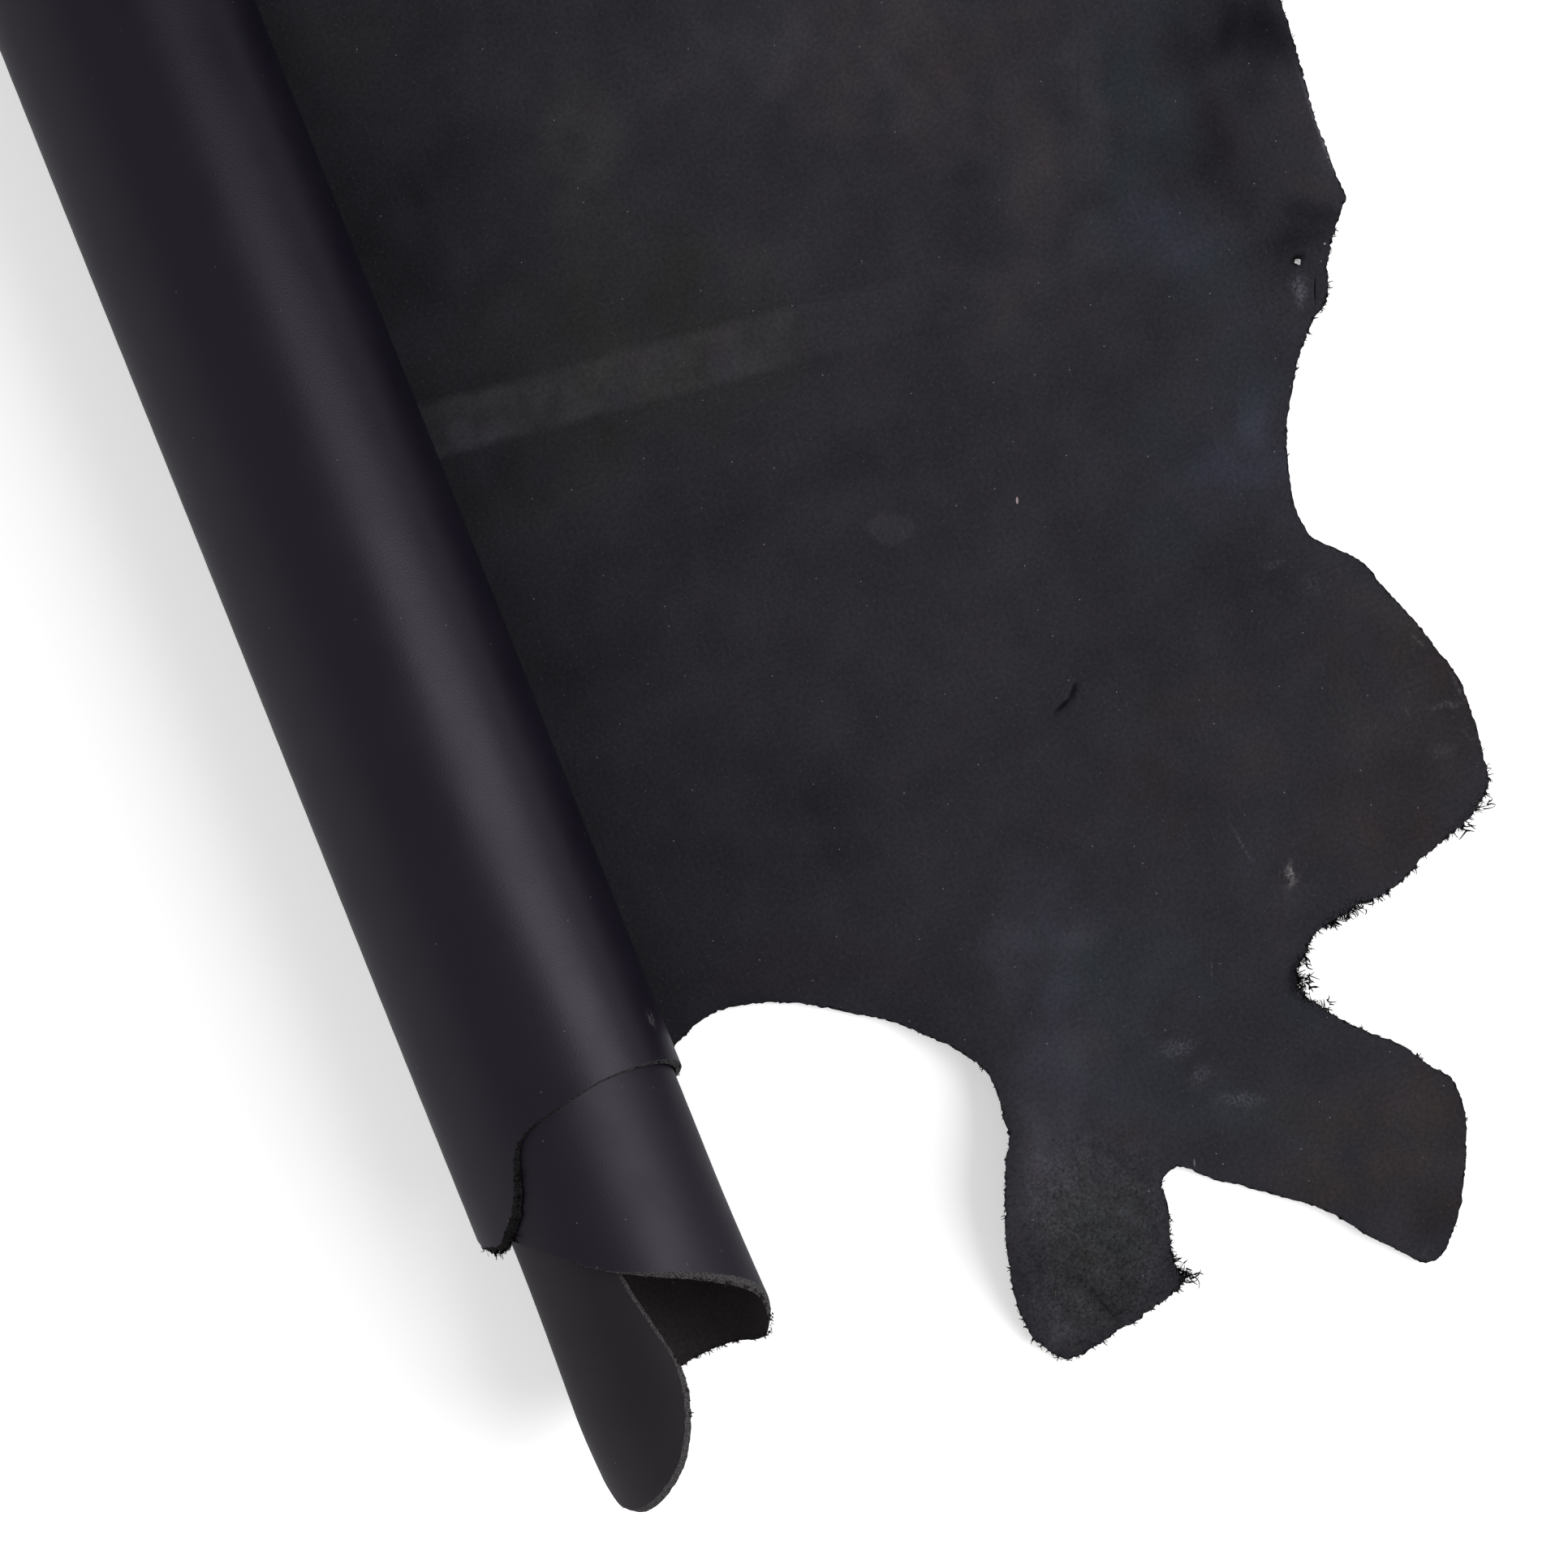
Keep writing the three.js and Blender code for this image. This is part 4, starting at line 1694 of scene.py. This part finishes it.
    def triangulate(self) -> tuple[Array, Array]:
        """Fills the cut edge with triangles.

        Returns:
            The pattern's points, and three point numbers for each triangle.
        """
        grid = self.spread()
        slits = self.beside_slits()
        clear = np.linalg.norm(grid - HOLE, axis=1) > HOLE_RADIUS * self.hole_clear
        clear &= np.linalg.norm(grid[:, None] - slits[None], axis=2).min(1) > self.slit_clear
        loops = [self.edge.points, self.hole_ring()]
        points = np.concatenate([*loops, grid[clear], slits])
        edges = []
        first = 0
        for loop in loops:
            count = len(loop)
            edges += [(first + i, first + (i + 1) % count) for i in range(count)]
            first += count
        made = delaunay_2d_cdt([Vector(point) for point in points], edges, [], 1, self.merged)
        corners = np.array([tuple(point) for point in made[0]])
        faces = np.array(made[2])
        around = np.linalg.norm(corners - HOLE, axis=1) > HOLE_RADIUS * self.hole_inside
        return corners, faces[around[faces].any(1)]

    def rim(self, faces: Array) -> Array:
        """Finds the border of the triangles.

        Args:
            faces: three point numbers for each triangle.

        Returns:
            The directed edges that only one triangle has.
        """
        sides = np.concatenate([faces[:, [0, 1]], faces[:, [1, 2]], faces[:, [2, 0]]])
        known = {(int(a), int(b)) for a, b in sides}
        return np.array([pair for pair in known if pair[::-1] not in known])

    def sharpen(self, mesh: bpy.types.Mesh, lines: Array) -> None:
        """Makes edges of a mesh sharp, so that the grain side's gloss ends at the cut.

        Args:
            mesh: the hide's mesh.
            lines: the two point numbers of each edge.
        """
        ends = np.zeros(2 * len(mesh.edges), np.int32)
        mesh.edges.foreach_get("vertices", ends)
        known = np.sort(ends.reshape(-1, 2).astype(np.int64), 1)
        lines = np.sort(lines, 1)
        total = len(mesh.vertices)
        found = np.isin(known[:, 0] * total + known[:, 1], lines[:, 0] * total + lines[:, 1])
        sharp = np.zeros(len(mesh.edges), bool)
        mesh.attributes["sharp_edge"].data.foreach_get("value", sharp)
        mesh.attributes["sharp_edge"].data.foreach_set("value", sharp | found)

    def slants(self, points: Array, distance: Array, fray: Array) -> Array:
        """Slants the cut: the grain side stands back from the flesh side at the edge.

        Args:
            points: points of the pattern.
            distance: their distances from the cut edge.
            fray: how frayed the edge is there.

        Returns:
            How far each point of the grain side is pulled into the hide.
        """
        flat = smooth((points[:, 0] - self.slant_from) / self.slant_over)
        worn = np.maximum(flat, smooth((fray - self.fray_from) / self.fray_over))
        slant = self.rolled_slant + (self.slant - self.rolled_slant) * worn
        tip = smooth((self.tip_from - points[:, 1]) / self.tip_over)
        tongue = self.tongue_slant + (self.tip_slant - self.tongue_slant) * tip
        slant = np.where(points[:, 0] < self.tongue_from, tongue, slant)
        shift = np.maximum(slant * (1 - distance / self.slant_reach), 0)
        shift[np.linalg.norm(points - HOLE, axis=1) < self.hole_upright * HOLE_RADIUS] = 0
        return shift

    def build(self) -> bpy.types.Object:
        """Lays both faces of the sheet and joins them by the cut face.

        Returns:
            The new object.
        """
        points, faces = self.triangulate()
        count = len(points)
        distance, nearest = self.nearest(points)
        fray = self.edge.fray[nearest]
        rim = self.rim(faces)
        on_rim = np.unique(rim)
        away = unit(points - self.edge.points[nearest])
        touching = distance < self.touching
        away[touching] = self.edge.inward(self.pull_reach)[nearest[touching]]
        shift = self.slants(points, distance, fray)
        pulled = points + away * shift[:, None]
        patterns = [points, pulled]
        layers = [
            self.lie.place(points[:, 0], points[:, 1], MIDDLE - self.slit_depth(points)),
            self.lie.place(pulled[:, 0], pulled[:, 1], -MIDDLE),
        ]
        rings = [on_rim]
        dice = np.random.default_rng(self.seed)
        for row in self.cut_rows:
            wander = dice.normal(0, row.rough, len(on_rim))
            at = points[on_rim] + away[on_rim] * (shift[on_rim] * row.share + wander)[:, None]
            rings.append(sum(len(layer) for layer in layers) + np.arange(len(on_rim)))
            layers.append(self.lie.place(at[:, 0], at[:, 1], row.out))
            patterns.append(at)
        rings.append(count + on_rim)
        polygons = faces.tolist() + (faces[:, ::-1] + count).tolist()
        a, b = np.searchsorted(on_rim, rim).T
        for upper, lower in zip(rings, rings[1:]):
            polygons += np.stack([upper[a], lower[a], lower[b], upper[b]], 1).tolist()
        finishes = np.full(len(polygons), Face.CUT, np.int32)
        finishes[: len(faces)] = Face.FLESH
        finishes[len(faces) : 2 * len(faces)] = Face.GRAIN
        mesh = bpy.data.meshes.new("hide")
        mesh.from_pydata(np.concatenate(layers).tolist(), [], polygons)
        mesh.polygons.foreach_set("material_index", finishes)
        flat = np.concatenate(patterns) * MM
        keep(mesh, "pattern", np.pad(flat, ((0, 0), (0, 1))))
        # The casts kept here hold the broad stains and also painted shade and light.
        keep(mesh, "stain_and_shade", np.concatenate([self.flesh.stain_and_shade(pattern) for pattern in patterns]))
        keep(mesh, "inset", np.pad(distance * MM, (0, len(flat) - count)))
        keep(mesh, "fray", np.pad(fray, (0, len(flat) - count)))
        mesh.shade_smooth()
        mesh.set_sharp_from_angle(angle=math.radians(self.sharp_angle))
        mesh.validate()
        self.sharpen(mesh, rim + count)
        return link(mesh)

    def dress(self, hide: bpy.types.Object) -> None:
        """Gives the hide its finishes, in the order of its faces."""
        for finish in (self.flesh, self.grain, self.cut):
            hide.data.materials.append(finish.material())


class Strands(NamedTuple):
    """Loose fibres: roots, headings, lengths and thicknesses in metres, and how pale each is."""

    roots: Array
    headings: Array
    lengths: Array
    thicknesses: Array
    shades: Array


@dataclass
class Fibres:
    """Loose fibres of the raw edge and of the fuzzy patches of the flesh side, as one joined mesh."""

    lie: Lie
    edge: CutEdge
    finish: FibreFinish = FibreFinish()
    root_inset: float = 0.5
    root_depth: Span = (-0.9, 1.2)
    lift: Span = (0.05, 0.35)
    least_length: float = 1.2
    least_reach: float = 0.2
    fray_reach: float = 5.0
    reach_power: float = 1.2
    shade_spread: float = 0.35
    inner_from: float = -300.0
    rolled_shade: float = 5.0
    rolled_length: float = 0.6
    tuft_count: int = 300
    tuft_fibres: int = 3
    tuft_power: float = 2.6
    tuft_lean: float = 0.6
    tuft_sway: float = 0.5
    tuft_spread: float = 0.5
    tuft_thickness: Span = (0.45, 0.8)
    crumb_share: float = 0.15
    crumb_length: float = 0.4
    crumb_thickness: float = 1.8
    clump_spread: float = 1.3
    clump_sway: float = 0.8
    clump_lift: Span = (0.1, 0.3)
    clump_length: Span = (0.4, 1.2)
    clump_depth: Span = (-0.8, 1.0)
    clump_thickness: Span = (0.65, 1.05)
    clump_shade: Span = (0.2, 0.5)
    stray_count: int = 2000
    stray_least: float = 0.06
    stray_sway: float = 0.8
    stray_spread: float = 0.8
    stray_length: float = 0.5
    stray_thickness: Span = (0.3, 0.5)
    nap_inset: float = 0.8
    nap_sunk: float = 0.1
    nap_spread: float = 0.5
    nap_shade: float = 0.4
    nap_lift: Span = (0.05, 0.4)
    nap_length: Span = (1.0, 3.0)
    nap_thickness: Span = (0.2, 0.34)
    steps: int = 5
    taper: float = 0.6
    curl: float = 2.0
    curl_lean: float = 0.5
    floor_gap: float = 0.0001
    seed: int = 23

    def edge_strands(self, dice: Dice, pick: Array, sway: Array, spread: float) -> Strands:
        """Grows fibres out of the cut edge.

        Args:
            dice: the random source.
            pick: the numbers of the edge's points from which they grow.
            sway: how far each leans along the edge.
            spread: how far each may start from its point, in millimetres.

        Returns:
            The fibres.
        """
        count = len(pick)
        inward = self.edge.inward()[pick]
        run = np.stack([inward[:, 1], -inward[:, 0]], 1)
        at = self.edge.points[pick] + run * dice.normal(0, spread, (count, 1)) + inward * self.root_inset
        depth = dice.uniform(*self.root_depth, count)
        roots = self.lie.place(at[:, 0], at[:, 1], depth)
        beyond = at - inward
        out = unit(self.lie.place(beyond[:, 0], beyond[:, 1], depth) - roots)
        up = self.lie.normal(at[:, 0], at[:, 1])
        aside = np.cross(out, up)
        lift = dice.normal(*self.lift, (count, 1))
        heading = unit(out + aside * sway[:, None] + up * lift)
        reach = self.least_reach + self.fray_reach * self.edge.fray[pick]
        length = self.least_length + reach * dice.power(self.reach_power, count)
        rolled = at[:, 0] < self.inner_from
        length = length * np.where(rolled, self.rolled_length, 1.0)
        shade = np.where(rolled, self.rolled_shade, 1.0) * dice.lognormal(0, self.shade_spread, count)
        return Strands(roots, heading, length * MM, np.ones(count) * MM, shade)

    def tufts(self, dice: Dice) -> Strands:
        """Grows clumps of thick fibres and crumbs where the cut edge is most frayed.

        Args:
            dice: the random source.

        Returns:
            The fibres.
        """
        weight = np.where(self.edge.points[:, 1] < NEAR_END, self.edge.fray, 0) ** self.tuft_power
        pick = dice.choice(len(weight), self.tuft_count, p=weight / weight.sum())
        pick = np.repeat(pick, self.tuft_fibres)
        lean = np.repeat(dice.normal(0, self.tuft_lean, self.tuft_count), self.tuft_fibres)
        sway = lean + dice.normal(0, self.tuft_sway, len(pick))
        strands = self.edge_strands(dice, pick, sway, self.tuft_spread)
        crumb = dice.random(len(pick)) < self.crumb_share
        length = strands.lengths * np.where(crumb, self.crumb_length, 1.0)
        thickness = MM * dice.uniform(*self.tuft_thickness, len(pick))
        thickness = thickness * np.where(crumb, self.crumb_thickness, 1.0)
        return strands._replace(lengths=length, thicknesses=thickness)

    def clumps(self, dice: Dice) -> Strands:
        """Grows the clumps that stand out.

        Args:
            dice: the random source.

        Returns:
            The fibres.
        """
        rows = [row for row in CLUMPS for _ in range(row.count)]
        count = len(rows)
        at = np.array([(row.across, row.along) for row in rows])
        at = at + dice.normal(0, self.clump_spread, (count, 2))
        angle = np.radians([row.heading for row in rows]) + dice.normal(0, self.clump_sway, count)
        heading = unit(np.stack([np.cos(angle), np.sin(angle), dice.normal(*self.clump_lift, count)], 1))
        length = MM * np.array([row.length for row in rows]) * dice.uniform(*self.clump_length, count)
        roots = self.lie.place(at[:, 0], at[:, 1], dice.uniform(*self.clump_depth, count))
        thickness = MM * dice.uniform(*self.clump_thickness, count)
        return Strands(roots, heading, length, thickness, dice.lognormal(*self.clump_shade, count))

    def strays(self, dice: Dice) -> Strands:
        """Grows single thin fibres all along the cut edge.

        Args:
            dice: the random source.

        Returns:
            The fibres.
        """
        weight = np.where(self.edge.points[:, 1] < NEAR_END, self.stray_least + self.edge.fray, 0)
        pick = dice.choice(len(weight), self.stray_count, p=weight / weight.sum())
        sway = dice.normal(0, self.stray_sway, len(pick))
        strands = self.edge_strands(dice, pick, sway, self.stray_spread)
        thickness = MM * dice.uniform(*self.stray_thickness, len(pick))
        return strands._replace(lengths=strands.lengths * self.stray_length, thicknesses=thickness)

    def naps(self, dice: Dice) -> Strands:
        """Lays fibres on the fuzzy patches.

        Args:
            dice: the random source.

        Returns:
            The fibres.
        """
        places = []
        shades = []
        for nap in NAPS:
            reach = (nap.reach_across, nap.reach_along)
            spread = dice.normal(0, self.nap_spread, (nap.count, 2)) * reach
            places.append(np.array([nap.across, nap.along]) + spread)
            shades.append(nap.shade * dice.lognormal(0, self.nap_shade, nap.count))
        at = np.concatenate(places)
        kept = self.edge_distance(at) > self.nap_inset
        at = at[kept]
        count = len(at)
        roots = self.lie.place(at[:, 0], at[:, 1], MIDDLE - self.nap_sunk)
        up = self.lie.normal(at[:, 0], at[:, 1])
        angle = dice.uniform(0, 2 * math.pi, count)
        flat = np.stack([np.cos(angle), np.sin(angle), np.zeros(count)], 1)
        heading = unit(flat + up * dice.uniform(*self.nap_lift, (count, 1)))
        length = MM * dice.uniform(*self.nap_length, count)
        thickness = MM * dice.uniform(*self.nap_thickness, count)
        return Strands(roots, heading, length, thickness, np.concatenate(shades)[kept])

    def edge_distance(self, points: Array) -> Array:
        """Measures how far into the hide points of the pattern lie.

        Args:
            points: points of the pattern.

        Returns:
            Their distances from the cut edge, negative outside it.
        """
        shown = self.edge.points[:, 1] < NEAR_END
        line = self.edge.points[shown]
        inward = self.edge.inward()[shown]
        nearest = np.linalg.norm(points[:, None] - line[None], axis=2).argmin(1)
        return ((points - line[nearest]) * inward[nearest]).sum(1)

    def spikes(self, dice: Dice, strands: Strands) -> Array:
        """Shapes each fibre as a thin three-sided spike that curls.

        Args:
            dice: the random source.
            strands: the fibres.

        Returns:
            For each fibre its points, ring by ring, and then its tip.
        """
        count = len(strands.roots)
        heading = strands.headings
        step = strands.lengths[:, None] / self.steps
        upright = np.array([0, 0, 1]) * dice.choice([-1, 1], (count, 1))
        axis = unit(upright + dice.normal(0, self.curl_lean, (count, 3)))
        curl = np.abs(dice.normal(0, self.curl, (count, 1))) / self.steps
        across = unit(np.cross(heading, dice.normal(0, 1, (count, 3))))
        centre = strands.roots
        corners = []
        for ring in range(self.steps):
            thick = strands.thicknesses[:, None] / 2 * (1 - self.taper * ring / self.steps)
            over = np.cross(heading, across)
            for k in range(3):
                angle = 2 * math.pi * k / 3
                corners.append(centre + (across * math.cos(angle) + over * math.sin(angle)) * thick)
            centre = centre + heading * step
            heading = unit(heading * np.cos(curl) + np.cross(axis, heading) * np.sin(curl))
            across = unit(across - heading * (across * heading).sum(1, keepdims=True))
        points = np.stack([*corners, centre], 1)
        points[..., 2] = np.maximum(points[..., 2], CAD_BOX[0].z + self.floor_gap)
        return points

    def build(self) -> bpy.types.Object:
        """Grows all the fibres and joins them.

        Returns:
            The new object.
        """
        dice = np.random.default_rng(self.seed)
        groups = [self.tufts(dice), self.clumps(dice), self.strays(dice), self.naps(dice)]
        strands = Strands(*(np.concatenate(part) for part in zip(*groups)))
        points = self.spikes(dice, strands)
        tip = 3 * self.steps
        sides = [(2, 1, 0)]
        for k in range(3):
            sides.append((tip - 3 + k, tip - 3 + (k + 1) % 3, tip))
        for ring in range(0, tip - 3, 3):
            for k in range(3):
                after = (k + 1) % 3
                sides.append((ring + k, ring + after, ring + 3 + after, ring + 3 + k))
        faces = [[i * (tip + 1) + k for k in side] for i in range(len(points)) for side in sides]
        mesh = bpy.data.meshes.new("edge_fibres")
        mesh.from_pydata(points.reshape(-1, 3).tolist(), [], faces)
        keep(mesh, "shade", np.repeat(strands.shades, tip + 1))
        mesh.shade_smooth()
        return link(mesh)

    def dress(self, fibres: bpy.types.Object) -> None:
        """Gives the fibres their finish."""
        fibres.data.materials.append(self.finish.material())


@dataclass
class Studio:
    """A white floor, a soft sky, a wide soft light from the belly side, and the camera."""

    # The photo's frame is 1932 pixels wide, with 3 pixels to a millimetre of the floor.
    half_frame: float = 966.0
    camera_height: float = 5000.0
    pixels: float = 3.0
    camera_over: Span = (-0.0676, -0.6598)
    camera_turn: float = -21.84
    key_at: tuple[float, float, float] = (1.66, -1.35, 1.7)
    key_aim: tuple[float, float, float] = (-0.2, -0.7, 0.0)
    key_size: Span = (2.3, 2.3)
    key_power: float = 70.0
    sky_sides: Ramp = Ramp(-0.15, 0.45, 0.5, 0.08)
    sky_ends: Ramp = Ramp(0.25, 0.8, 1.0, 1.3)
    sky_low: Ramp = Ramp(-1.0, -0.7, 2.2, 1.0)
    floor_size: float = 14.0
    floor_colour: Colour = (0.9, 0.9, 0.9)
    floor_roughness: float = 0.9
    floor_glow: float = 0.4

    def floor(self) -> None:
        """Lays the floor, which isn't part of the hide."""
        bpy.ops.mesh.primitive_plane_add(size=self.floor_size)
        floor = bpy.context.object
        floor.name = "floor"
        surface = Surface("white_floor")
        surface.join(surface.shader, {
            "Base Color": (*self.floor_colour, 1),
            "Roughness": self.floor_roughness,
            "Specular IOR Level": 0.0,
            "Emission Color": (1, 1, 1, 1),
            "Emission Strength": self.floor_glow,
        })
        floor.data.materials.append(surface.material)

    def sky(self) -> None:
        """Lights the scene from all round, most from low on the roll's side, least from the belly."""
        world = bpy.data.worlds.new("sky")
        bpy.context.scene.world = world
        world.use_nodes = True
        graph = Graph(world.node_tree)
        heading = graph.add("TexCoord", {}).outputs["Generated"]
        x, y, _ = graph.add("SeparateXYZ", {0: heading}).outputs
        ends = graph.fit(graph.math("ABSOLUTE", y, 0.0), self.sky_ends)
        strength = graph.multiply(graph.fit(x, self.sky_sides), ends, graph.fit(x, self.sky_low))
        graph.join(graph.tree.nodes["Background"], {"Color": (1, 1, 1, 1), "Strength": strength})

    def key(self) -> None:
        """Hangs the wide light."""
        lamp = bpy.data.lights.new("key", "AREA")
        lamp.shape = "RECTANGLE"
        lamp.size, lamp.size_y = self.key_size
        lamp.energy = self.key_power
        key = bpy.data.objects.new("key", lamp)
        key.location = self.key_at
        aim = Vector(self.key_aim) - Vector(self.key_at)
        key.rotation_euler = aim.to_track_quat("-Z", "Y").to_euler()
        bpy.context.scene.collection.objects.link(key)

    def camera(self) -> None:
        """Looks straight down on the near end of the roll, with its axis leaning to the left."""
        lens = bpy.data.cameras.new("camera")
        lens.angle = 2 * math.atan(self.half_frame / self.camera_height)
        camera = bpy.data.objects.new("camera", lens)
        camera.location = (*self.camera_over, self.camera_height / self.pixels * MM)
        camera.rotation_euler = (0, 0, math.radians(self.camera_turn))
        bpy.context.scene.collection.objects.link(camera)
        bpy.context.scene.camera = camera

    def build(self) -> None:
        """Sets up the floor, the lights, the camera and plain colours."""
        self.floor()
        self.sky()
        self.key()
        self.camera()
        bpy.context.scene.view_settings.view_transform = "Standard"


def main() -> None:
    """Builds the studio, the hide and its fibres."""
    logging.basicConfig(level=logging.INFO, format="%(name)s: %(message)s")
    bpy.ops.object.select_all(action="DESELECT")
    Studio().build()
    lie = Lie()
    edge = CutEdge(lie)
    sheet = Hide(lie, edge)
    hide = sheet.build()
    sheet.dress(hide)
    fringe = Fibres(lie, edge)
    fibres = fringe.build()
    fringe.dress(fibres)
    for piece in (hide, fibres):
        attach(piece, "root")
        LOG.info("%s: %d faces", piece.name, len(piece.data.polygons))
    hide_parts("leather_side")


if __name__ == "__main__":
    main()
